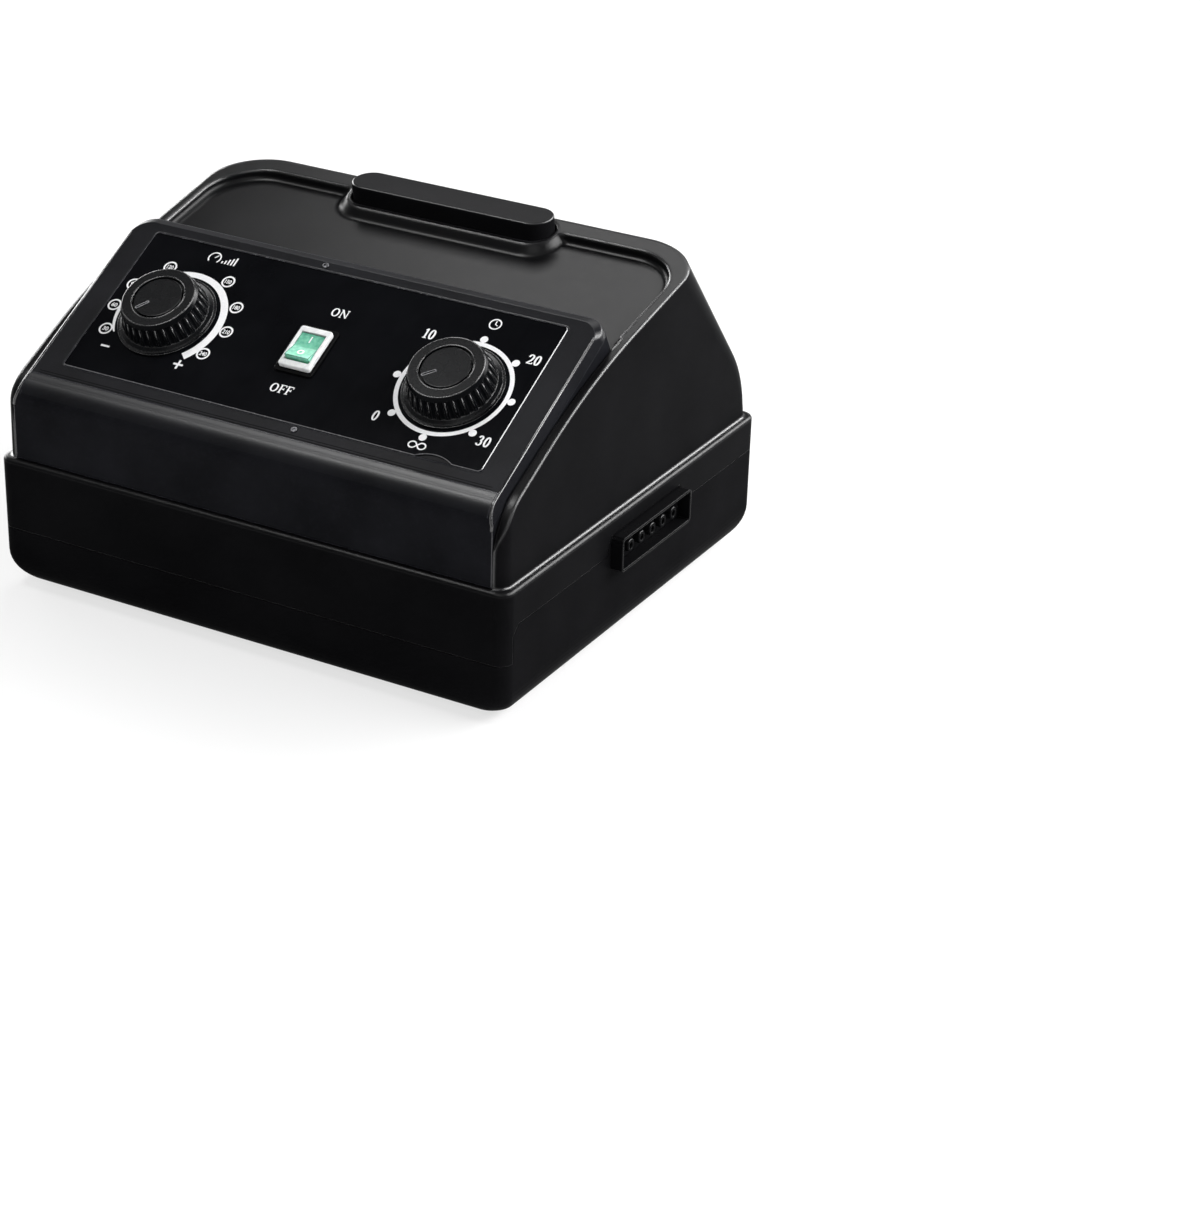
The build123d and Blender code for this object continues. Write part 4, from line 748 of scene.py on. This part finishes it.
class Print:
    """Thin closed solids on a plane or along its lines, gathered into one piece.

    Place turns the plane's own u, v and h into a point in metres.
    """

    def __init__(self, place=on_panel, low=INK_BOTTOM, high=INK_TOP):
        self.mesh = bmesh.new()
        self.place = place
        self.low = low
        self.high = high

    def loft(self, rings, closed=False, smooth=False):
        """Joins rings of vertices into a solid, with an end at both sides unless it is closed."""
        count, sides = len(rings), len(rings[0])
        for index in range(count if closed else count - 1):
            here, there = rings[index], rings[(index + 1) % count]
            for side in range(sides):
                other = (side + 1) % sides
                corners = (here[side], here[other], there[other], there[side])
                self.mesh.faces.new(corners).smooth = smooth
        if not closed:
            self.mesh.faces.new(rings[0][::-1])
            self.mesh.faces.new(rings[-1])

    def strip(self, inner, outer, closed=False, outer_high=None):
        """Fills between two lines of points. A lower outer height gives it a slope."""
        self.high += STROKE_STEP
        edge = self.high if outer_high is None else outer_high
        rows = []
        for (u, v), (s, t) in zip(inner, outer):
            corners = ((u, v, self.low), (s, t, self.low), (s, t, edge), (u, v, self.high))
            rows.append([self.mesh.verts.new(self.place(*corner)) for corner in corners])
        self.loft(rows, closed)

    def arc(self, centre, inner, outer, start, stop, step=3.0):
        """A band about a centre. The outer radius may be a function of the share of the way."""
        steps = max(2, math.ceil(abs(stop - start) / step))
        whole = abs(abs(stop - start) - 360) < SAME
        lines = [], []
        for index in range(steps if whole else steps + 1):
            share = index / steps
            angle = start + share * (stop - start)
            lines[0].append(around(centre, inner, angle))
            lines[1].append(around(centre, outer(share) if callable(outer) else outer, angle))
        self.strip(*lines, closed=whole)

    def dot(self, centre, radius, sides=24):
        """A filled disc."""
        low, high = [], []
        for index in range(sides):
            u, v = around(centre, radius, 360 * index / sides)
            low.append(self.mesh.verts.new(self.place(u, v, self.low)))
            high.append(self.mesh.verts.new(self.place(u, v, self.high)))
        self.mesh.faces.new(low[::-1])
        self.mesh.faces.new(high)
        for index in range(sides):
            other = (index + 1) % sides
            self.mesh.faces.new((low[index], low[other], high[other], high[index]))

    def line(self, points, width, thin=None):
        """A line through points. Where it runs level, it thins towards a second width."""
        closed = (Vector(points[0]) - Vector(points[-1])).length < SAME
        points = points[:-1] if closed else points
        left, right = [], []
        for index, point in enumerate(points):
            before, after = neighbours(points, index, closed)
            along = (Vector(after) - Vector(before)).normalized()
            breadth = width if thin is None else thin + (width - thin) * abs(along.y)
            aside = Vector((-along.y, along.x)) * breadth / 2
            left.append(tuple(Vector(point) + aside))
            right.append(tuple(Vector(point) - aside))
        self.strip(left, right, closed)

    def bead(self, points, radius, upright, closed=False, sides=8):
        """A fine round bead through points. Upright is any way that it never runs."""
        points = [Vector(point) for point in points]
        rings = []
        for index, point in enumerate(points):
            before, after = neighbours(points, index, closed)
            along = (after - before).normalized()
            aside = along.cross(Vector(upright)).normalized()
            out = aside.cross(along)
            ring = []
            for side in range(sides):
                turn = 2 * math.pi * side / sides
                spot = point + radius * (math.cos(turn) * aside + math.sin(turn) * out)
                ring.append(self.mesh.verts.new(self.place(*spot)))
            rings.append(ring)
        self.loft(rings, closed, smooth=True)

    def write(self, body, centre, height):
        """Numerals and switch words with thick stems, thin arms and serifs."""
        start = -sum(GLYPHS[letter][0] for letter in body) / 2
        for letter in body:
            advance, strokes = GLYPHS[letter]
            middle = start + advance / 2
            for thick, points in strokes:
                spots = [
                    (centre[0] + (middle + u) * height, centre[1] + v * height) for u, v in points
                ]
                self.line(spots, thick * height, PEN_THIN * height)
            start += advance

    def bar(self, centre, across, up, width):
        """A straight line through a centre, which reaches as far as given to both sides."""
        u, v = centre
        self.line([(u - across, v - up), (u + across, v + up)], width)

    def text(self, body, centre, height, wide, bold):
        """Generic characters of the built-in font, stretched and thickened as given."""
        data = bpy.data.curves.new("text", "FONT")
        data.body = body
        data.align_x = "CENTER"
        data.offset = bold
        holder = bpy.data.objects.new("text", data)
        bpy.context.scene.collection.objects.link(holder)
        graph = bpy.context.evaluated_depsgraph_get()
        shape = bpy.data.meshes.new_from_object(holder.evaluated_get(graph))
        bpy.data.objects.remove(holder)
        ups = [vertex.co.y for vertex in shape.vertices]
        sides = [vertex.co.x for vertex in shape.vertices]
        scale = height / (max(ups) - min(ups))
        middle = Vector(((max(sides) + min(sides)) / 2, (max(ups) + min(ups)) / 2))
        flat = bmesh.new()
        flat.from_mesh(shape)
        bpy.data.meshes.remove(shape)
        bmesh.ops.remove_doubles(flat, verts=flat.verts, dist=WELD)
        spots = []
        for vertex in flat.verts:
            spot = (vertex.co.xy - middle) * scale
            spot.x *= wide
            spots.append((centre[0] + spot.x, centre[1] + spot.y))
        flat.verts.index_update()
        low = [self.mesh.verts.new(self.place(u, v, self.low)) for u, v in spots]
        high = [self.mesh.verts.new(self.place(u, v, self.high)) for u, v in spots]
        for face in flat.faces:
            order = [vertex.index for vertex in face.verts]
            self.mesh.faces.new([high[index] for index in order])
            self.mesh.faces.new([low[index] for index in reversed(order)])
        for edge in flat.edges:
            if len(edge.link_faces) == 1:
                first, second = (vertex.index for vertex in edge.verts)
                self.mesh.faces.new((low[first], low[second], high[second], high[first]))
        flat.free()

    def finish(self, name, material, slot, body="case"):
        """Makes the piece, which rides on a body."""
        bmesh.ops.recalc_face_normals(self.mesh, faces=self.mesh.faces)
        data = bpy.data.meshes.new(name)
        self.mesh.to_mesh(data)
        self.mesh.free()
        data.materials.append(material)
        piece = bpy.data.objects.new(name, data)
        bpy.context.scene.collection.objects.link(piece)
        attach(piece, body)


# ---------------------------------------------------------------- fine pieces

INK = print_ink()
SHADE = groove_shade()
KNOB_EDGE = bright_edge("knob_edge", (0.002, 0.002, 0.0025), (0.005, 0.005, 0.006))
# painted highlight: the pointer's lip is far paler than the knob
POINTER_HIGHLIGHT = bright_edge("pointer_highlight", (0.1, 0.1, 0.11), (0.2, 0.2, 0.21))
CONSOLE_EDGE = bright_edge("console_edge", (0.008, 0.008, 0.009), (0.02, 0.02, 0.022))
# painted highlight: the label's cut edge is far paler than its ink
LABEL_EDGE_HIGHLIGHT = bright_edge("label_edge_highlight", (0.05, 0.05, 0.055), (0.12, 0.12, 0.13))


def time_scale():
    """A ring with dots, minutes at four of them, a clock above and the endless sign below."""
    scale = Print()
    scale.arc(TIME_DIAL, *TIME_RING, 0, 360)
    for index in range(TIME_DOT_COUNT):
        turn = 360 / TIME_DOT_COUNT * index
        scale.dot(around(TIME_DIAL, TIME_DOT_PLACE, turn), TIME_DOT_R)
    for body, centre in MINUTES.items():
        scale.write(body, centre, MINUTE_HEIGHT)
    u, v = CLOCK_PLACE
    scale.line(bow(CLOCK_PLACE, (CLOCK_R, CLOCK_R), 0, 360), SIGN_PEN)
    across, up = CLOCK_SHORT_HAND
    scale.line([(u, v + CLOCK_LONG_HAND), CLOCK_PLACE, (u + across, v + up)], HAND_PEN)
    u, v = ENDLESS_PLACE
    gap = ENDLESS_OPEN
    left = bow((u - ENDLESS_REACH, v), ENDLESS_RADII, gap, 360 - gap)
    right = bow((u + ENDLESS_REACH, v), ENDLESS_RADII, 180 - gap, gap - 180)
    for points in (left, right, (left[-1], right[0]), (right[-1], left[0])):
        scale.line(points, SIGN_PEN)
    scale.finish("time_scale", INK, "label_film")


def pressure_scale():
    """A band that widens with the pressure, circled numbers round it, and a gauge sign above."""
    scale = Print()

    def band_edge(share):
        return BAND_OUTER + BAND_GROWTH * math.sqrt(share)

    scale.arc(PRESSURE_DIAL, BAND_INNER, band_edge, *BAND_TURNS)
    for number, radius, angle in PRESSURE_MARKS:
        centre = around(PRESSURE_DIAL, radius, angle)
        scale.arc(centre, *MARK_RING, 0, 360, 15)
        wide = 1.0 if number < 100 else MARK_NARROW
        scale.text(str(number), centre, MARK_HEIGHT, wide, MARK_BOLD)
    scale.line(bow(GAUGE_PLACE, (GAUGE_R, GAUGE_R), *GAUGE_TURNS), SIGN_PEN)
    scale.line([GAUGE_PLACE, around(GAUGE_PLACE, NEEDLE_LENGTH, NEEDLE_TURN)], HAND_PEN)
    for index in range(BAR_COUNT):
        u = BAR_U + BAR_PITCH * index
        scale.line([(u, BAR_FOOT), (u, BAR_TOP + BAR_RISE * index)], BAR_WIDTH)
    scale.bar(MINUS_PLACE, MINUS_REACH, 0, PLUS_WIDTH)
    scale.bar(PLUS_PLACE, PLUS_REACH, 0, PLUS_WIDTH)
    scale.bar(PLUS_PLACE, 0, PLUS_REACH, PLUS_WIDTH)
    scale.finish("pressure_scale", INK, "label_film")


def switch_words():
    """ON above the switch and OFF below it."""
    words = Print()
    for body, centre in SWITCH_WORDS.items():
        words.write(body, centre, WORD_HEIGHT)
    words.finish("switch_words", INK, "label_film")


def label_rim():
    """The label's cut edge all the way round, with the finger notch, painted pale as a highlight.
    """
    half_notch = math.sqrt(NOTCH_R**2 - (NOTCH_R - NOTCH_DEPTH) ** 2)
    swing = math.degrees(math.asin(half_notch / NOTCH_R))
    notch_centre = (NOTCH_U, -LABEL_HALF_DEPTH + NOTCH_DEPTH - NOTCH_R)

    def outline(inset):
        corner_u, corner_v = LABEL_HALF_WIDTH - LABEL_CORNER_R, LABEL_HALF_DEPTH - LABEL_CORNER_R
        radius, notch = LABEL_CORNER_R - inset, NOTCH_R + inset
        points = []
        for across, up, turn in ((1, -1, -90), (1, 1, 0), (-1, 1, 90), (-1, -1, 180)):
            corner = across * corner_u, up * corner_v
            points += bow(corner, (radius, radius), turn, turn + 90, 15)
        return points + bow(notch_centre, (notch, notch), 90 + swing, 90 - swing, 5)

    rim = Print(high=LABEL_TOP + LABEL_RIM_WIDTH)
    rim.strip(outline(LABEL_RIM_WIDTH), outline(0), closed=True, outer_high=LABEL_TOP)
    rim.finish("label_rim", LABEL_EDGE_HIGHLIGHT, "label_film")


def nose_skin():
    """The nose's skin, which starts with a fine step across the bezel and ends low on the front."""
    turns = [math.radians(turn) for turn in range(0, NOSE_TURN + 1, NOSE_TURN_STEP)]

    def on_nose(radius, turn):
        return NOSE_V - radius * math.sin(turn), radius * math.cos(turn) - NOSE_R

    outline = [(NOSE_STEP_V, -NOSE_ROOT), (NOSE_STEP_V, NOSE_STEP_H)]
    for turn in turns:
        outline.append(on_nose(NOSE_R + NOSE_SKIN * (1 - 2 * turn / turns[-1]), turn))
    outline += [on_nose(NOSE_R - NOSE_ROOT, turn) for turn in turns[::-1]]
    skin = Print()
    ends = []
    for u in (-NOSE_HALF_WIDTH, NOSE_HALF_WIDTH):
        ends.append([skin.mesh.verts.new(on_panel(u, v, h)) for v, h in outline])
    skin.loft(ends)
    skin.finish("nose_skin", MATERIALS["console_plastic"], "console_plastic")


def bezel_lines():
    """Two fine flat dark strips across the bezel below the label, painted shade for grooves."""
    groove_shades = Print(low=-BEZEL_LINE_RELIEF, high=BEZEL_LINE_RELIEF)
    for v in BEZEL_LINES_V:
        groove_shades.bar((0, v), BEZEL_LINE_HALF, 0, BEZEL_LINE_WIDTH)
    groove_shades.finish("bezel_lines", SHADE, "console_plastic")


def pointer(name, dial, turn, body):
    """A pointer on a knob's cap: a flat strip of painted groove shade inside a bead lip painted
    pale as a highlight.
    """
    near, far = around(dial, POINTER_NEAR, turn), around(dial, POINTER_FAR, turn)
    groove = Print(low=KNOB_TOP - GROOVE_DEPTH, high=KNOB_TOP + GROOVE_RISE)
    groove.line([near, far], POINTER_WIDTH)
    groove.finish(name + "_groove_shade", SHADE, "knob_plastic", body)
    radii = LIP_R, LIP_R
    ends = bow(near, radii, turn + 90, turn + 270, 30) + bow(far, radii, turn - 90, turn + 90, 30)
    lip = Print()
    lip.bead([(u, v, KNOB_TOP) for u, v in ends], LIP_BEAD, (0, 0, 1), closed=True)
    lip.finish(name + "_lip_highlight", POINTER_HIGHLIGHT, "knob_plastic", body)


def knob_edges(name, dial, body):
    """A knob's crisp edges: its rim, the recess round its cap, its skirt and its flutes' crests."""
    edges = Print()
    for radius, height, thick in KNOB_RINGS:
        turns = [360 / RING_SIDES * index for index in range(RING_SIDES)]
        ring = [(*around(dial, radius, turn), height) for turn in turns]
        edges.bead(ring, thick, (0, 0, 1), closed=True)
    for index in range(FLUTE_COUNT):
        turn = 360 * (index + 0.5) / FLUTE_COUNT
        crest = [(*around(dial, radius, turn), height) for radius, height in FLUTE_CREST]
        edges.bead(crest, FLUTE_BEAD, (0, 0, 1))
    edges.finish(name, KNOB_EDGE, "knob_plastic", body)


def console_edges():
    """The fascia's two crisp side edges, down the panel and round the nose."""
    edges = Print()
    for side in (-1, 1):
        u = side * EDGE_U
        path = [(u, EDGE_TOP_V, -EDGE_SINK), (u, NOSE_V, -EDGE_SINK)]
        for degrees in range(EDGE_TURN_STEP, EDGE_TURN + 1, EDGE_TURN_STEP):
            turn = math.radians(degrees)
            drop = NOSE_R * (1 - math.cos(turn))
            flare = EDGE_FLARE * min(1, drop / EDGE_FLARE_DROP)
            v = NOSE_V - NOSE_R * math.sin(turn)
            path.append((side * (EDGE_U + flare), v, -EDGE_SINK - drop))
        edges.bead(path, EDGE_BEAD, (1, 0, 0))
    edges.finish("console_edges", CONSOLE_EDGE, "console_plastic")


def inlet_pins():
    """The nickel sleeves of the mains inlet's two pins, with tapered tips."""
    sleeves = Print()
    shape = (PIN_ROOT_Y, PIN_R), (PIN_END_Y - PIN_NOSE, PIN_R), (PIN_END_Y, PIN_R - PIN_NOSE)
    for side in (-0.5, 0.5):
        centre = INLET_PLACE[0] + side * PIN_PITCH, INLET_PLACE[1]
        rings = []
        for y, radius in shape:
            ring = [around(centre, radius, 360 / PIN_SIDES * index) for index in range(PIN_SIDES)]
            rings.append([sleeves.mesh.verts.new(Vector((x, y, z)) * MM) for x, z in ring])
        sleeves.loft(rings, smooth=True)
    sleeves.finish("inlet_pins", MATERIALS["sheet_steel"], "sheet_steel")


def rocker_marks():
    """The bar for on and the ring for off."""
    marks = Print(on_rocker, *ROCKER_INK)
    marks.line(ON_BAR, ON_BAR_WIDTH)
    marks.arc(OFF_RING_PLACE, *OFF_RING, 0, 360, 15)
    marks.finish("rocker_marks", INK, "rocker_green", "power_rocker")


time_scale()
pressure_scale()
switch_words()
label_rim()
nose_skin()
bezel_lines()
pointer("pressure_pointer", PRESSURE_DIAL, PRESSURE_POINTER_TURN, "pressure_dial")
pointer("time_pointer", TIME_DIAL, TIME_POINTER_TURN, "time_dial")
knob_edges("pressure_knob_edges", PRESSURE_DIAL, "pressure_dial")
knob_edges("time_knob_edges", TIME_DIAL, "time_dial")
console_edges()
inlet_pins()
rocker_marks()

# ---------------------------------------------------------------- stage

FLOOR_HALF, FLOOR_CELL = 100.0, 0.4
FLOOR_SHADES = (0.88, 0.88, 0.88), (0.9, 0.9, 0.9)
# the share of plain white in the floor near the object, and how far off it grows to the whole
PAPER_WHITE, WHITE_START, WHITE_FULL = 0.7, 0.8, 3.0

# the world's glow at the horizon, low in the sky and at its top, and where the first two fade
HORIZON_GLOW, LOW_GLOW, TOP_GLOW = 1.0, 0.45, 0.08
HORIZON_BAND, LOW_BAND = (0.0, 0.17), (0.1, 0.38)

# each lamp: its name, place, size and watts
LAMP_AIM = (0, 0, 0.07)
LAMPS = (
    ("deck_box", (-0.5, 1.16, 1.45), (1.0, 0.6), 13),
    ("right_box", (1.37, 0.5, 1.12), (1.3, 0.8), 38),
    ("rear_box", (0.9, 1.45, 0.84), (1.2, 0.7), 29),
    ("nose_box", (-0.7, -0.33, 1.7), (0.5, 0.4), 10),
    ("left_box", (-1.76, 0.88, 0.42), (1.2, 0.8), 26),
    ("fill_box", (0.5, -1.3, 1.3), (1.2, 0.8), 6),
)


def make_stage():
    """A wide pale floor, which keeps the object's shadow and turns to plain white far from it."""
    data = bpy.data.meshes.new("floor")
    corners = [(FLOOR_HALF * x, FLOOR_HALF * y, 0) for x, y in ((-1, -1), (1, -1), (1, 1), (-1, 1))]
    data.from_pydata(corners, [], [(0, 1, 2, 3)])
    floor = bpy.data.objects.new("floor", data)
    bpy.context.scene.collection.objects.link(floor)
    material, tree, shader, place = start_material("floor_paper")
    shade = blend_colours(tree, noise(tree, place, FLOOR_CELL), *FLOOR_SHADES)
    wire(tree, shader, {"Base Color": shade, "Roughness": 0.9, "Specular IOR Level": 0.0})
    rays = put(tree, "ShaderNodeLightPath").outputs
    seen = rays["Is Camera Ray"]
    for other in ("Is Glossy Ray", "Is Transmission Ray"):
        seen = combine(tree, "MAXIMUM", seen, rays[other])
    away = put(tree, "ShaderNodeVectorMath", {0: place}, operation="LENGTH").outputs["Value"]
    paper = between(tree, away, PAPER_WHITE, 1.0, WHITE_START, WHITE_FULL)
    share = combine(tree, "MULTIPLY", seen, paper)
    white = put(tree, "ShaderNodeEmission", {"Color": (1, 1, 1, 1), "Strength": 1.0}).outputs[0]
    both = put(tree, "ShaderNodeMixShader", {0: share, 1: shader.outputs[0], 2: white}).outputs[0]
    tree.links.new(both, tree.nodes["Material Output"].inputs["Surface"])
    data.materials.append(material)


def soft_box(name, place, size, watts):
    """A rectangular soft lamp that faces the object."""
    data = bpy.data.lights.new(name, "AREA")
    data.shape = "RECTANGLE"
    data.size, data.size_y = size
    data.energy = watts
    lamp = bpy.data.objects.new(name, data)
    bpy.context.scene.collection.objects.link(lamp)
    back = Vector(place) - Vector(LAMP_AIM)
    lamp.location = place
    lamp.rotation_euler = back.to_track_quat("Z", "Y").to_euler()


def make_lights():
    """A soft sky that is white at the horizon, and the soft boxes."""
    world = bpy.data.worlds.new("studio")
    bpy.context.scene.world = world
    world.use_nodes = True
    tree = world.node_tree
    height = height_of(tree, put(tree, "ShaderNodeTexCoord").outputs["Generated"])
    sky = between(tree, height, LOW_GLOW, TOP_GLOW, *LOW_BAND)
    horizon = between(tree, height, HORIZON_GLOW, TOP_GLOW, *HORIZON_BAND)
    glow = combine(tree, "MAXIMUM", sky, horizon)
    wire(tree, tree.nodes["Background"], {"Strength": glow, "Color": (1, 1, 1, 1)})
    for lamp in LAMPS:
        soft_box(*lamp)


make_stage()
make_lights()
bpy.context.scene.view_settings.view_transform = "Standard"
